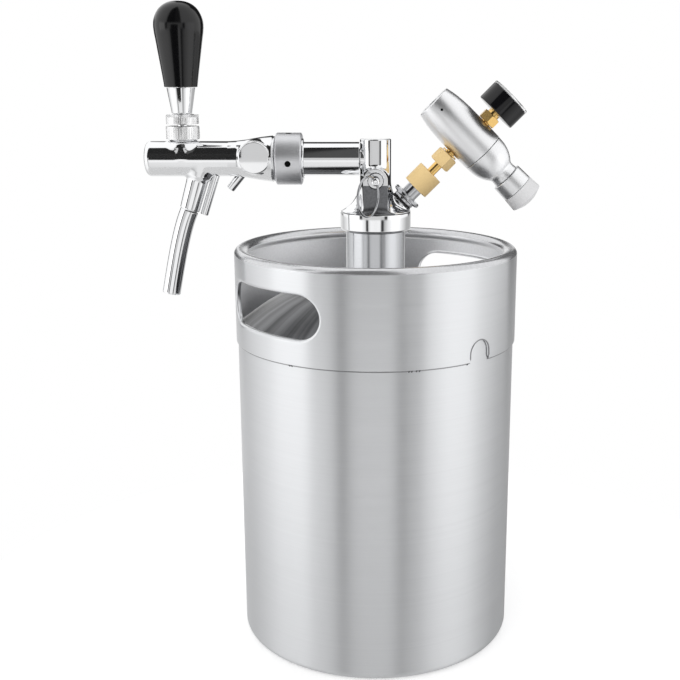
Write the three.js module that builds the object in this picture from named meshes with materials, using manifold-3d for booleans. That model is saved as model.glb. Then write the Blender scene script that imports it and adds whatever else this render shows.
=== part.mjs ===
// Mini keg beer dispenser: a five litre steel keg with a handle ring, a chrome draught tap that screws
// on its neck, and a gas regulator with a pressure gauge on the tap's side port.
// Millimetres, +Z up. The origin is the centre of the keg's flat base, the faucet points along -X and
// the regulator leans towards +X, so a person who pours stands at -Y and sees the relief valve.
import * as THREE from "three";
import { mergeVertices } from "three/addons/utils/BufferGeometryUtils.js";
import Module from "manifold-3d";

const wasm = await Module();
wasm.setup();

// Clearances that serve the whole part
const FIT = 0.3; // gap between pieces that touch or slide
const OVERRUN = 3; // how far a cutter passes the face that it cuts
const EDGE = 0.8; // broken edge on turned parts

// Keg
const KEG_DIAMETER = 180;
const KEG_HEIGHT = 258; // to the top of the rolled rim
const BODY_SHEET = 0.9;
const BASE_FILLET = 5;
const GROOVE_RADIUS = 66; // stiffening groove pressed up into the base
const GROOVE_WIDTH = 10;
const GROOVE_RISE = 3;
const DOME_RISE = 29;
const NECK_DIAMETER = 37.6;
const NECK_BORE = 30.8;
const NECK_THREAD_DIAMETER = 36.4;
const NECK_THREAD_LENGTH = 5.5;
const NECK_RISE = 15; // top of the neck above the rim
const NECK_ROOT = 3; // how far the neck reaches into the keg

// Handle ring, welded round the top of the keg
const RING_SHEET = 0.8;
const RING_DEPTH = 59.5; // rim to lower edge
const RING_LAP = 8; // how far the keg body reaches up inside the ring
const RIM_BEAD = 8; // diameter of the rolled rim
const HAND_HOLE_LENGTH = 82.4;
const HAND_HOLE_HEIGHT = 26.7;
const HAND_HOLE_DROP = 30.75; // centre below the rim
const HAND_HOLE_TURN = 48.75; // degrees from -Y towards -X
const HAND_HOLE_LIP = 3.4; // depth of the inturned lip
const NOTCH_WIDTH = 16.7;
const NOTCH_HEIGHT = 13;
const NOTCH_TURN = 43.8; // degrees from -Y towards +X

// Union between the tap head and the keg's neck, heights from the top of the neck
const COLLAR_DIAMETER = 44.6;
const COLLAR_SKIRT = 5; // below the top of the neck
const COLLAR_TOP = 6.3;
const COLLAR_LIP = 1.7;
const GASKET_THICKNESS = 1.5;
const SPIGOT_DIAMETER = 34;
const RETAINER_THICKNESS = 1;
const RETAINER_SEAT = 31; // diameter of the groove that holds the retaining ring
const RETAINER_GAP = 24; // degrees cut out of the retaining ring

// Tap head
const HEAD_SKIRT = 43.8; // diameter
const SKIRT_EDGE = 0.6;
const CONE_HEIGHT = 18;
const COLUMN_DIAMETER = 19.6;
const COLUMN_TOP = 52;
const ARM_HEIGHT = 39.5; // arm axis above the top of the neck
const GAS_WAY = 10.8; // bore round the dip tube
const BEER_WAY = 8.6; // bore above the dip tube
const GAS_WAY_TOP = 32;
const ARM_BOSS = 13.8; // diameter of the nipple's root, hidden by the arm tube
const ARM_NIPPLE = 5.6; // length inside the arm tube
const ARM_WAY = 9.2; // bore through the boss
const DIP_TUBE_DIAMETER = 8;
const DIP_TUBE_BORE = 6;
const DIP_TUBE_TOP = 34.2;
const DIP_TUBE_FLOOR = 8; // above the inside of the base
const SEAL_THICKNESS = 1.7;

// Arm, distances from the column's axis
const ARM_DIAMETER = 20.8;
const ARM_BORE = 13;
const ARM_RING = 25.2; // diameter of the loose ring behind the nut
const ARM_RING_START = 44.8;
const ARM_RING_LENGTH = 3.1;
const ARM_FLANGE = 24.8; // diameter
const ARM_FLANGE_THICKNESS = 2;
const NUT_DIAMETER = 32.2;
const NUT_START = 46;
const NUT_END = 62.2;
const NUT_COUNTERBORE = 2.2; // depth
const NUT_LIP = 2;
const NUT_THREAD = 26.4; // diameter
const SPANNER_HOLE = 3.8; // diameter
const SPANNER_HOLE_DEPTH = 1.7;
const SPANNER_HOLES = 4;
const SPANNER_HOLE_TURN = 7.5; // degrees below the horizontal at the front
const WASHER_THICKNESS = 1.5;

// Faucet, distances from the column's axis
const FAUCET_DIAMETER = 21.8;
const FAUCET_END = 144.5;
const FAUCET_NOSE = 4; // length of the rounded end
const FLARE_DIAMETER = 28.8;
const FLARE_START = 64.3;
const FLARE_END = 92;
const SHANK_DIAMETER = 25.8; // threaded end inside the nut
const BARREL_WAY = 13; // pressure side bore
const SEAT_START = 94;
const SEAT_LENGTH = 2;
const SEAT_BORE = 9.2;
const OUTLET_WAY = 12.4;
const OUTLET_END = 138;

// Lever and its bonnet
const LEVER_REACH = 120.3; // from the column's axis
const PIVOT_HEIGHT = 15.5; // above the arm's axis
const LEVER_RANGE = 30; // degrees, a sine of one half
const BALL_DIAMETER = 11.2;
const TAIL_LENGTH = 12; // pivot to the middle of the tail's ball
const TAIL_DIAMETER = 3.8;
const TAIL_BALL = 4.6;
const STUD_DIAMETER = 6;
const STUD_TOP = 43; // above the pivot
const BONNET_DIAMETER = 15.2;
const BONNET_WAY = 12.6;
const BONNET_THREAD = 17.2;
const BONNET_NUT_DIAMETER = 20.6;
const BONNET_NUT_BOTTOM = -3.4; // from the pivot
const BONNET_NUT_TOP = 4.65;
const BONNET_NUT_LIP = 2.2;
const BONNET_NUT_OPENING = 16;
const SEAT_RING_DIAMETER = 14;
const LOCK_RING_DIAMETER = 20.1;
const LOCK_RING_TOP = 12.1; // above the pivot
const FERRULE_BOTTOM = 12.4;
const FERRULE_TOP = 28;
const FERRULE_NARROW = 12.5; // diameter
const FERRULE_WIDE = 17.7;
const HANDLE_LENGTH = 51.1;
const HANDLE_DIAMETER = 30.4; // at its widest
const HANDLE_FOOT = 20.3; // diameter at its lower end

// Shuttle inside the faucet
const SHUTTLE_DIAMETER = 11.8;
const SHUTTLE_START = 117;
const SHUTTLE_END = 134;
const SHUTTLE_ROD = 5.2;
const SHUTTLE_SLOT = 5.6;
const RETAINER_DISC = 1.7;
const SHUTTLE_SEAL = 1.7;

// Flow control
const FLOW_REACH = 74.9; // from the column's axis
const FLOW_RISE = 1.5; // above the arm's axis
const FLOW_BOSS = 20.6;
const FLOW_BOSS_FACE = 11.3; // from the middle plane
const FLOW_BARREL = 16.6;
const FLOW_PORT = 6;
const FLOW_WALL = 1.6; // closed end of the cross bore
const FLOW_CAP_DIAMETER = 19.8;
const FLOW_CAP_FACE = 14;
const FLOW_LEVER_DIAMETER = 5.4;
const FLOW_LEVER_LENGTH = 26.5; // from the barrel's axis
const FLOW_LEVER_ANGLE = 50.5; // degrees below the horizontal
const FLOW_LEVER_RANGE = 50; // degrees

// Spout and vent, places from the column's axis and the arm's axis
const SPOUT_NECK_TOP = [-111.8, -12];
const SPOUT_NECK_FOOT = [-117.9, -32];
const SPOUT_NECK_WIDE = 13.6;
const SPOUT_NECK_NARROW = 12.6;
const SPOUT_WAY = 8;
const SPOUT_SOCKET = 11;
const SPOUT_SOCKET_DEPTH = 6;
const SPOUT_DIAMETER = 11.5;
const SPOUT_WALL = 0.9;
const SPOUT_MIDDLE = [-126.3, -60];
const SPOUT_FOOT = [-131.9, -85.7];
const VENT_TOP = [-101, -11.5];
const VENT_FOOT = [-108.8, -35];
const VENT_DIAMETER = 5;
const VENT_WAY = 2;
const VENT_SOCKET = 2.6; // depth

// Relief valve on the front of the head
const RELIEF_HEIGHT = 27.3; // above the top of the neck
const PAD_WIDTH = 15;
const PAD_FACE = 18.5; // from the column's axis
const PLUG_DIAMETER = 9.4;
const PLUG_LENGTH = 2.3;
const RELIEF_SEAT = 8.5; // seat face from the column's axis
const RELIEF_PORT = 3.6;
const PIN_DIAMETER = 4.8;
const PIN_TIP = 27.2; // from the column's axis
const PIN_EYE = 22.5; // middle of the cross hole
const EYE_DIAMETER = 3;
const RELIEF_ROD = 3.2;
const POPPET_DIAMETER = 7.2;
const POPPET_THICKNESS = 1;
const RELIEF_SEAL = 1.2;
const PULL_RING_DIAMETER = 25.6;
const PULL_RING_WIRE = 1.5;
const PULL_RING_HEADING = 59; // degrees from -X towards -Y
const PULL_RING_LEAN = 45.6; // degrees from hanging straight down

// Gas connection, distances along its axis from the column's axis
const GAS_DROP = 3.7; // where the axis meets the column's, below the top of the neck
const GAS_LEAN = 45; // degrees
const GAS_BOSS = 16.4;
const GAS_BOSS_FACE = 22.7;
const GAS_THREAD = 8.8;
const GAS_THREAD_START = 17;
const GAS_BORE = 3.6;
const GAS_RING = 14; // outer diameter of the seal under the post
const GAS_RING_THICKNESS = 1.2;
const POST_SHOULDER = 14.4;
const POST_SHOULDER_LENGTH = 1.7;
const POST_DIAMETER = 10.5;
const POST_END = 44.3;
const POST_BORE = 4;
const LOCK_NUT_DIAMETER = 19.6;
const LOCK_NUT_THICKNESS = 2.9;
const COUPLER_DIAMETER = 17.3;
const COUPLER_START = 35.6;
const COUPLER_END = 49;
const COUPLER_TOP_WALL = 2.3;
const STEM_DIAMETER = 5.8;
const STEM_FLANGE = 9;
const STEM_FLANGE_THICKNESS = 1.5;
const STEM_HEAD = 8.4;
const STEM_BORE = 1.8;
const SWIVEL_NUT_START = 56;
const SWIVEL_NUT_END = 64.8;
const SWIVEL_NUT_FLATS = 12.4;
const SWIVEL_NUT_LIP = 2;
const SWIVEL_HEAD_LENGTH = 4.1;
const OUTLET_FLANGE = 1.5;
const OUTLET_NECK = 6.4;
const OUTLET_COLLAR = 10.6;
const OUTLET_SPIGOT = 6;

// Regulator, distances along its barrel from the gas axis, towards the knob
const REGULATOR_REACH = 80.7; // barrel axis from the column's axis
const BARREL_DIAMETER = 28;
const BARREL_END_DIAMETER = 23.2;
const BARREL_END = -30;
const BARREL_SEAM = 14;
const CHAMBER_DIAMETER = 21.6;
const CHAMBER_START = -2;
const SOCKET_DIAMETER = 9.6;
const SOCKET_DEPTH = 15;
const SOCKET_MOUTH = 14; // diameter of the shallow recess round the socket
const SOCKET_MOUTH_DEPTH = 1.8;
const VALVE_BORE = 2.4;
const PIN_DISC_THICKNESS = 3.2;
const NEEDLE_LENGTH = 3.6;
const CARTRIDGE_SEAL = 1.4;
const PISTON_START = 1;
const PISTON_THICKNESS = 4;
const PISTON_SEAL = 1.4;
const PISTON_NOSE = 3.4;
const SPRING_DIAMETER = 12.8;
const SPRING_WIRE = 1.8;
const BUTTON_START = 22;
const BUTTON_THICKNESS = 2;
const BUTTON_DIAMETER = 14;
const SCREW_DIAMETER = 7;
const SCREW_END = 53.4;
const CAP_SPIGOT_LENGTH = 5.8;
const CAP_CAVITY_END = 26;
const CAP_NECK_DIAMETER = 17.2;
const CAP_NECK_START = 30.6;
const CAP_NECK_END = 35.5;
const KNOB_START = 35.8;
const KNOB_SEAM = 45.7;
const KNOB_END = 54.7;
const KNOB_CROWN = 2.5;
const KNOB_NARROW = 20.4;
const KNOB_MIDDLE = 21.2;
const KNOB_WIDE = 22.4;
const KNOB_STEM = 10.4;
const BREATHER_DIAMETER = 1.6;
const BREATHER_PLACE = -20.7;
const BREATHER_DEPTH = 1.2;

// Gauge, distances from the barrel's axis
const GAUGE_PLACE = 2; // along the barrel
const GAUGE_STEM_SPIGOT = 6;
const GAUGE_STEM_INSIDE = 3.4; // how far the stem enters the barrel
const GAUGE_HEX_FLATS = 11;
const GAUGE_HEX_END = 20.2;
const GAUGE_STEM_NECK = 8;
const GAUGE_BACK = 22.4;
const GAUGE_DIAMETER = 27.2;
const GAUGE_RIM = 35;
const GAUGE_WALL = 1.2;
const GAUGE_BACK_WALL = 1.6;
const GAUGE_LEDGE = 0.8; // step that the dial rests on
const DIAL_PLACE = 31.2;
const DIAL_THICKNESS = 0.6;
const DIAL_HOLE = 2.6;
const LENS_THICKNESS = 1.3;
const LENS_PLUG = 1.9;
const POINTER_PLACE = 32.3;
const POINTER_THICKNESS = 0.5;
const POINTER_LENGTH = 8.6;
const POINTER_TAIL = 3.6;
const POINTER_WIDTH = 1.3;
const POINTER_HUB = 3.6;
const POINTER_REST = 45; // degrees from the bottom of the dial, at the zero mark
const POINTER_SHAFT = 1.8;
const TUBE_RING_RADIUS = 7.8; // coiled pressure tube inside the gauge
const TUBE_WIDTH = 2;
const TUBE_PLACE = 27;
const TUBE_SWEEP = 250; // degrees

// Facets round a full turn
const KEG_SIDES = 36;
const WIDE_SIDES = 24;
const MIDDLE_SIDES = 16;
const SMALL_SIDES = 12;
const PIN_SIDES = 8;
const WIRE_SIDES = 6;
const ARC_STEPS = 4; // each half of a drawn arc

const DEGREE = Math.PI / 180;
const QUARTER = Math.PI / 2;
const half = (size) => size / 2;

// A closed geometry with one vertex at each corner, as a solid that can be cut and joined
function solid(geometry) {
  const plain = geometry.index ? geometry.toNonIndexed() : geometry.clone();
  plain.deleteAttribute("normal");
  plain.deleteAttribute("uv");
  const merged = mergeVertices(plain, 1e-4);
  const corners = merged.index.array;
  const triangles = [];
  for (let i = 0; i < corners.length; i += 3) {
    const [a, b, c] = [corners[i], corners[i + 1], corners[i + 2]];
    if (a !== b && b !== c && c !== a) triangles.push(a, b, c);
  }
  const mesh = new wasm.Mesh({
    numProp: 3,
    vertProperties: merged.attributes.position.array,
    triVerts: new Uint32Array(triangles),
  });
  return new wasm.Manifold(mesh);
}

// The geometry of a solid, with one normal per face
function geometryOf(shape) {
  const mesh = shape.getMesh();
  const corners = new Float32Array(mesh.numVert * 3);
  for (let i = 0; i < mesh.numVert; i += 1) {
    corners.set(mesh.vertProperties.subarray(i * mesh.numProp, i * mesh.numProp + 3), i * 3);
  }
  const indexed = new THREE.BufferGeometry();
  indexed.setAttribute("position", new THREE.BufferAttribute(corners, 3));
  indexed.setIndex(new THREE.BufferAttribute(mesh.triVerts, 1));
  const flat = indexed.toNonIndexed();
  flat.computeVertexNormals();
  return flat;
}

// The first geometry with the others joined to it
function join(first, ...others) {
  return geometryOf(others.reduce((whole, other) => whole.add(solid(other)), solid(first)));
}

// The first geometry with the others cut out of it
function cut(first, ...tools) {
  return geometryOf(tools.reduce((rest, tool) => rest.subtract(solid(tool)), solid(first)));
}

// What two geometries share
function common(first, second) {
  return geometryOf(solid(first).intersect(solid(second)));
}

// A closed outline of [radius, height] points turned round +Z
function turned(outline, sides) {
  const points = outline.map(([radius, height]) => new THREE.Vector2(radius, height));
  if (THREE.ShapeUtils.area(points) < 0) points.reverse();
  points.push(points[0].clone());
  return new THREE.LatheGeometry(points, sides).rotateX(QUARTER);
}

// A rod or disc round +Z between two heights
function rod(diameter, low, high, sides) {
  const radius = half(diameter);
  return turned([[0, low], [radius, low], [radius, high], [0, high]], sides);
}

// A washer or tube round +Z between two heights
function tube(outer, inner, low, high, sides) {
  const [wide, narrow] = [half(outer), half(inner)];
  return turned([[narrow, low], [wide, low], [wide, high], [narrow, high]], sides);
}

// A rod whose two edges are broken
function chamferedRod(diameter, low, high, edge, sides) {
  const radius = half(diameter);
  const outline = [
    [0, low], [radius - edge, low], [radius, low + edge],
    [radius, high - edge], [radius - edge, high], [0, high],
  ];
  return turned(outline, sides);
}

// A hexagonal bar round +Z with its corners turned down at both ends
function hexagon(flats, low, high) {
  const corner = half(flats) / Math.cos(30 * DEGREE);
  const shape = new THREE.Shape();
  for (let side = 0; side < 6; side += 1) {
    const turn = side * 60 * DEGREE;
    const [x, y] = [corner * Math.cos(turn), corner * Math.sin(turn)];
    if (side === 0) shape.moveTo(x, y);
    else shape.lineTo(x, y);
  }
  shape.closePath();
  const bar = upright(shape, low, high);
  const edge = half(FIT) + corner - half(flats);
  return common(bar, chamferedRod(2 * corner + FIT, low, high, edge, WIDE_SIDES));
}

// A flat shape given thickness along +Z
function upright(shape, low, high, curveSegments = ARC_STEPS) {
  const settings = { depth: high - low, bevelEnabled: false, curveSegments };
  return new THREE.ExtrudeGeometry(shape, settings).translate(0, 0, low);
}

// A rectangular block between two corners
function block(low, high) {
  const size = high.map((value, axis) => value - low[axis]);
  const centre = high.map((value, axis) => half(value + low[axis]));
  return new THREE.BoxGeometry(...size).translate(...centre);
}

// Turns a geometry made round +Z so that it runs along another direction
const alongX = (geometry) => geometry.rotateY(QUARTER);
const alongMinusX = (geometry) => geometry.rotateY(-QUARTER);
const alongMinusY = (geometry) => geometry.rotateX(QUARTER);

// A geometry made round +Z, set on a line in the XZ plane that runs down from one point to another
function onLine(geometry, from, to) {
  const angle = Math.atan2(to[0] - from[0], to[1] - from[1]);
  return geometry.rotateY(angle).translate(from[0], 0, from[1]);
}

const distance = (from, to) => Math.hypot(to[0] - from[0], to[1] - from[1]);

// Points on an arc in the plane of an outline, by start and end angle in degrees
function arc(centre, radius, start, end, steps) {
  const points = [];
  for (let step = 0; step <= steps; step += 1) {
    const angle = (start + ((end - start) * step) / steps) * DEGREE;
    points.push([centre[0] + radius * Math.cos(angle), centre[1] + radius * Math.sin(angle)]);
  }
  return points;
}

// Colour, roughness and metalness of each finish
const FINISH = {
  brushedSteel: [0xc9cbce, 0.32, 1],
  spunSteel: [0xb4b7ba, 0.4, 1],
  chrome: [0xf2f3f5, 0.06, 1],
  satinNickel: [0xb9bbbf, 0.42, 1],
  zinc: [0x8f9296, 0.35, 1],
  aluminium: [0xe3e4e8, 0.3, 1],
  frosted: [0xd9dadd, 0.6, 0.6],
  paleBrass: [0xdfc58f, 0.35, 1],
  goldBrass: [0xd99e4d, 0.25, 1],
  blackGloss: [0x0c0c0e, 0.12, 0],
  blackSatin: [0x1c1d1f, 0.4, 0],
  rubber: [0x18181a, 0.8, 0],
  nylon: [0xe9e6dc, 0.5, 0],
  dialWhite: [0xf4f4f0, 0.6, 0],
  pointerRed: [0xb3261e, 0.5, 0],
  springSteel: [0x8a8c90, 0.35, 1],
  clear: [0xf2f6f8, 0.05, 0],
};

function piece(name, geometry, finish) {
  const [color, roughness, metalness] = FINISH[finish];
  const material = new THREE.MeshStandardMaterial({ color, roughness, metalness });
  if (finish === "clear") {
    material.transparent = true;
    material.opacity = 0.35;
  }
  const mesh = new THREE.Mesh(geometry, material);
  mesh.name = name;
  return mesh;
}

const KEG_RADIUS = half(KEG_DIAMETER);
const BODY_RADIUS = KEG_RADIUS - RING_SHEET - FIT;
const RING_FOOT = KEG_HEIGHT - RING_DEPTH;
const BODY_TOP = RING_FOOT + RING_LAP;

// Keg body: base with a pressed groove, rounded corner and straight wall, in one sheet
function kegShell() {
  const inner = BODY_RADIUS - BODY_SHEET;
  const corner = BODY_RADIUS - BASE_FILLET;
  const run = half(GROOVE_WIDTH);
  const outline = [
    [0, 0],
    [GROOVE_RADIUS - run, 0],
    [GROOVE_RADIUS, GROOVE_RISE],
    [GROOVE_RADIUS + run, 0],
    ...arc([corner, BASE_FILLET], BASE_FILLET, -90, 0, 3),
    [BODY_RADIUS, BODY_TOP],
    [inner, BODY_TOP],
    ...arc([corner, BASE_FILLET], BASE_FILLET - BODY_SHEET, 0, -90, 1),
    [GROOVE_RADIUS + run, BODY_SHEET],
    [GROOVE_RADIUS, GROOVE_RISE + BODY_SHEET],
    [GROOVE_RADIUS - run, BODY_SHEET],
    [0, BODY_SHEET],
  ];
  return turned(outline, KEG_SIDES);
}

// Domed top with the hole that the neck is welded into
function kegDome() {
  const low = BODY_TOP + FIT;
  const hole = half(NECK_DIAMETER) + FIT;
  const span = BODY_RADIUS - hole;
  const outer = [];
  const inner = [];
  const out_shares = [1, 0.76, 0.44, 0];
  for (const out of out_shares) {
    const up = 1 - out * out;
    const across = out === 0 ? 0 : out * (span - BODY_SHEET);
    outer.push([hole + span * out, low + DOME_RISE * up]);
    inner.unshift([hole + across, low + (DOME_RISE - BODY_SHEET) * up]);
  }
  return turned([...outer, ...inner], KEG_SIDES);
}

// Threaded neck that the tap screws on
function kegNeck() {
  const outer = half(NECK_DIAMETER);
  const thread = half(NECK_THREAD_DIAMETER);
  const bore = half(NECK_BORE);
  const top = KEG_HEIGHT + NECK_RISE;
  const foot = BODY_TOP + FIT + DOME_RISE - NECK_ROOT;
  const shoulder = top - NECK_THREAD_LENGTH;
  const outline = [
    [bore, foot], [outer, foot], [outer, shoulder], [thread, shoulder + FIT],
    [thread, top - EDGE], [thread - EDGE, top], [bore, top],
  ];
  return turned(outline, WIDE_SIDES);
}

// A slot with round ends, cut or stood along the ring's radius at a turn from -Y towards -X
function slotAt(length, height, near, far, turn, drop) {
  const radius = half(height);
  const reach = half(length) - radius;
  const shape = new THREE.Shape();
  shape.absarc(reach, 0, radius, -QUARTER, QUARTER, false);
  shape.absarc(-reach, 0, radius, QUARTER, 3 * QUARTER, false);
  shape.closePath();
  const bar = alongMinusY(upright(shape, near, far));
  return bar.rotateZ(-turn * DEGREE).translate(0, 0, KEG_HEIGHT - drop);
}

// Handle ring with a rolled rim, two hand holes with inturned lips, and two drain notches
function handleRing() {
  const bead = half(RIM_BEAD);
  const inner = KEG_RADIUS - RING_SHEET;
  const centre = [KEG_RADIUS - bead, KEG_HEIGHT - bead];
  const outline = [
    [inner, RING_FOOT],
    [KEG_RADIUS, RING_FOOT],
    ...arc(centre, bead, 0, 270, 6),
    [inner, KEG_HEIGHT - RIM_BEAD + RING_SHEET],
  ];
  let ring = turned(outline, KEG_SIDES);
  const lipFace = inner - HAND_HOLE_LIP;
  const lipBand = tube(2 * inner + RING_SHEET, 2 * lipFace, RING_FOOT, KEG_HEIGHT, KEG_SIDES);
  const lipLength = HAND_HOLE_LENGTH + 2 * RING_SHEET;
  const lipHeight = HAND_HOLE_HEIGHT + 2 * RING_SHEET;
  const near = half(KEG_RADIUS);
  const far = KEG_RADIUS + OVERRUN;
  for (const turn of [HAND_HOLE_TURN, HAND_HOLE_TURN + 180]) {
    const wide = slotAt(lipLength, lipHeight, near, far, turn, HAND_HOLE_DROP);
    const clear = slotAt(HAND_HOLE_LENGTH, HAND_HOLE_HEIGHT, near, far, turn, HAND_HOLE_DROP);
    ring = cut(join(ring, common(lipBand, wide)), clear);
  }
  const arch = half(NOTCH_WIDTH);
  const notch = new THREE.Shape();
  notch.moveTo(-arch, -OVERRUN);
  notch.lineTo(arch, -OVERRUN);
  notch.lineTo(arch, NOTCH_HEIGHT - arch);
  notch.absarc(0, NOTCH_HEIGHT - arch, arch, 0, Math.PI, false);
  notch.closePath();
  for (const turn of [NOTCH_TURN, NOTCH_TURN + 180]) {
    const tool = alongMinusY(upright(notch, near, far)).rotateZ(turn * DEGREE);
    ring = cut(ring, tool.translate(0, 0, RING_FOOT));
  }
  return ring;
}

// Heights from the top of the neck that the union shares
const SPIGOT_FOOT = FIT + GASKET_THICKNESS + FIT;
const LIP_UNDERSIDE = COLLAR_TOP - COLLAR_LIP;
const RETAINER_TOP = LIP_UNDERSIDE - FIT;
const RETAINER_FOOT = RETAINER_TOP - RETAINER_THICKNESS;
const SKIRT_UNDERSIDE = COLLAR_TOP + FIT;

// Union collar that turns round the head and screws on the neck
function unionCollar() {
  const outer = half(COLLAR_DIAMETER);
  const thread = half(NECK_THREAD_DIAMETER) + FIT;
  const lip = half(SPIGOT_DIAMETER) + FIT;
  const outline = [
    [thread, -COLLAR_SKIRT], [outer - 2 * EDGE, -COLLAR_SKIRT], [outer, -COLLAR_SKIRT + 2 * EDGE],
    [outer, COLLAR_TOP - half(EDGE)], [outer - half(EDGE), COLLAR_TOP], [lip, COLLAR_TOP],
    [lip, LIP_UNDERSIDE], [thread, LIP_UNDERSIDE],
  ];
  return turned(outline, WIDE_SIDES);
}

function neckGasket() {
  return tube(NECK_THREAD_DIAMETER - FIT, NECK_BORE + FIT, FIT, FIT + GASKET_THICKNESS, WIDE_SIDES);
}

// Open ring that sits in the spigot's groove and carries the collar's lip
function retainingRing() {
  const outer = half(NECK_THREAD_DIAMETER - FIT);
  const inner = half(RETAINER_SEAT) + FIT;
  const start = half(RETAINER_GAP) * DEGREE;
  const shape = new THREE.Shape();
  shape.absarc(0, 0, outer, start, 2 * Math.PI - start, false);
  shape.absarc(0, 0, inner, 2 * Math.PI - start, start, true);
  shape.closePath();
  return upright(shape, RETAINER_FOOT, RETAINER_TOP, SMALL_SIDES);
}

// A geometry made round +Z, leant over onto the gas axis
function onGasAxis(geometry) {
  return geometry.rotateY(GAS_LEAN * DEGREE).translate(0, 0, -GAS_DROP);
}

// Outline of the relief valve's pad: straight sides under a round top
function padShape() {
  const radius = half(PAD_WIDTH);
  const shape = new THREE.Shape();
  shape.moveTo(-radius, SKIRT_UNDERSIDE);
  shape.lineTo(radius, SKIRT_UNDERSIDE);
  shape.lineTo(radius, RELIEF_HEIGHT);
  shape.absarc(0, RELIEF_HEIGHT, radius, 0, Math.PI, false);
  shape.closePath();
  return shape;
}

// Head casting: spigot, flared cone, column, arm boss, gas boss and relief pad, with all its ways
function tapHead() {
  const spigot = half(SPIGOT_DIAMETER);
  const groove = half(RETAINER_SEAT);
  const skirt = half(HEAD_SKIRT);
  const column = half(COLUMN_DIAMETER);
  const coneFoot = SKIRT_UNDERSIDE + SKIRT_EDGE;
  const coneSpan = skirt - column;
  const cone_shares = [[0.52, 0.21], [0.28, 0.42], [0.09, 0.7]];
  const outline = [
    [0, SPIGOT_FOOT],
    [spigot, SPIGOT_FOOT],
    [spigot, RETAINER_FOOT - FIT],
    [groove, RETAINER_FOOT - FIT],
    [groove, LIP_UNDERSIDE],
    [spigot, LIP_UNDERSIDE],
    [spigot, SKIRT_UNDERSIDE],
    [skirt, SKIRT_UNDERSIDE],
    [skirt, coneFoot],
    ...cone_shares.map(([out, up]) => [column + coneSpan * out, coneFoot + CONE_HEIGHT * up]),
    [column, coneFoot + CONE_HEIGHT],
    [column, COLUMN_TOP - EDGE],
    [column - EDGE, COLUMN_TOP],
    [0, COLUMN_TOP],
  ];
  const body = turned(outline, WIDE_SIDES);
  const pad = alongMinusY(upright(padShape(), half(PAD_FACE), PAD_FACE));
  const boss = rod(ARM_BOSS, 0, column, MIDDLE_SIDES);
  const nipple = rod(ARM_BORE - 2 * FIT, column, column + ARM_NIPPLE, MIDDLE_SIDES);
  const armSide = alongMinusX(join(boss, nipple)).translate(0, 0, ARM_HEIGHT);
  const gasBoss = onGasAxis(chamferedRod(GAS_BOSS, column, GAS_BOSS_FACE, FIT, MIDDLE_SIDES));
  const belowSkirt = rod(2 * HEAD_SKIRT, -HEAD_SKIRT, SKIRT_UNDERSIDE, SMALL_SIDES);
  const casting = join(body, pad, armSide, cut(gasBoss, belowSkirt));
  const ways = [
    rod(GAS_WAY, SPIGOT_FOOT - OVERRUN, GAS_WAY_TOP, MIDDLE_SIDES),
    rod(BEER_WAY, half(GAS_WAY_TOP), ARM_HEIGHT, SMALL_SIDES),
    alongMinusX(rod(ARM_WAY, 0, column + ARM_NIPPLE + OVERRUN, SMALL_SIDES)).translate(0, 0, ARM_HEIGHT),
    onGasAxis(rod(GAS_THREAD + 2 * FIT, GAS_THREAD_START, GAS_BOSS_FACE + OVERRUN, SMALL_SIDES)),
    onGasAxis(rod(GAS_BORE, half(GAS_WAY), GAS_THREAD_START + FIT, PIN_SIDES)),
    onGasAxis(rod(GAS_RING + 4 * FIT, GAS_BOSS_FACE, GAS_BOSS_FACE + OVERRUN, SMALL_SIDES)),
    alongMinusY(rod(PLUG_DIAMETER + 2 * FIT, RELIEF_SEAT, PAD_FACE + OVERRUN, SMALL_SIDES))
      .translate(0, 0, RELIEF_HEIGHT),
    alongMinusY(rod(RELIEF_PORT, half(RELIEF_SEAT), RELIEF_SEAT + FIT, PIN_SIDES))
      .translate(0, 0, RELIEF_HEIGHT),
  ];
  return cut(casting, ...ways);
}

function dipTube() {
  const floor = BODY_SHEET + DIP_TUBE_FLOOR - KEG_HEIGHT - NECK_RISE;
  return tube(DIP_TUBE_DIAMETER, DIP_TUBE_BORE, floor, DIP_TUBE_TOP, SMALL_SIDES);
}

function dipTubeSeal() {
  const top = GAS_WAY_TOP - FIT;
  return tube(GAS_WAY - 2 * FIT, DIP_TUBE_DIAMETER + 2 * FIT, top - SEAL_THICKNESS, top, SMALL_SIDES);
}

// Distances along the arm that the nut, ring, tube and faucet share
const COLUMN_RADIUS = half(COLUMN_DIAMETER);
const ARM_RING_END = ARM_RING_START + ARM_RING_LENGTH;
const NUT_LIP_START = NUT_START + NUT_COUNTERBORE;
const NUT_LIP_END = NUT_LIP_START + NUT_LIP;
const ARM_END = NUT_LIP_END + FIT + ARM_FLANGE_THICKNESS;
const ARM_WASHER_END = ARM_END + FIT + WASHER_THICKNESS;
const SHANK_START = ARM_WASHER_END + FIT;

function armTube() {
  const outer = half(ARM_DIAMETER);
  const flange = half(ARM_FLANGE);
  const bore = half(ARM_BORE);
  const start = COLUMN_RADIUS + FIT;
  const outline = [
    [bore, start], [outer, start], [outer, NUT_LIP_END + FIT], [flange, NUT_LIP_END + FIT],
    [flange, ARM_END], [bore, ARM_END],
  ];
  return alongMinusX(turned(outline, MIDDLE_SIDES));
}

function armRing() {
  const bore = ARM_DIAMETER + 2 * FIT;
  const outer = half(ARM_RING);
  const outline = [
    [half(bore), ARM_RING_START], [outer - half(EDGE), ARM_RING_START],
    [outer, ARM_RING_START + half(EDGE)], [outer, ARM_RING_END], [half(bore), ARM_RING_END],
  ];
  return alongMinusX(turned(outline, MIDDLE_SIDES));
}

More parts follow.
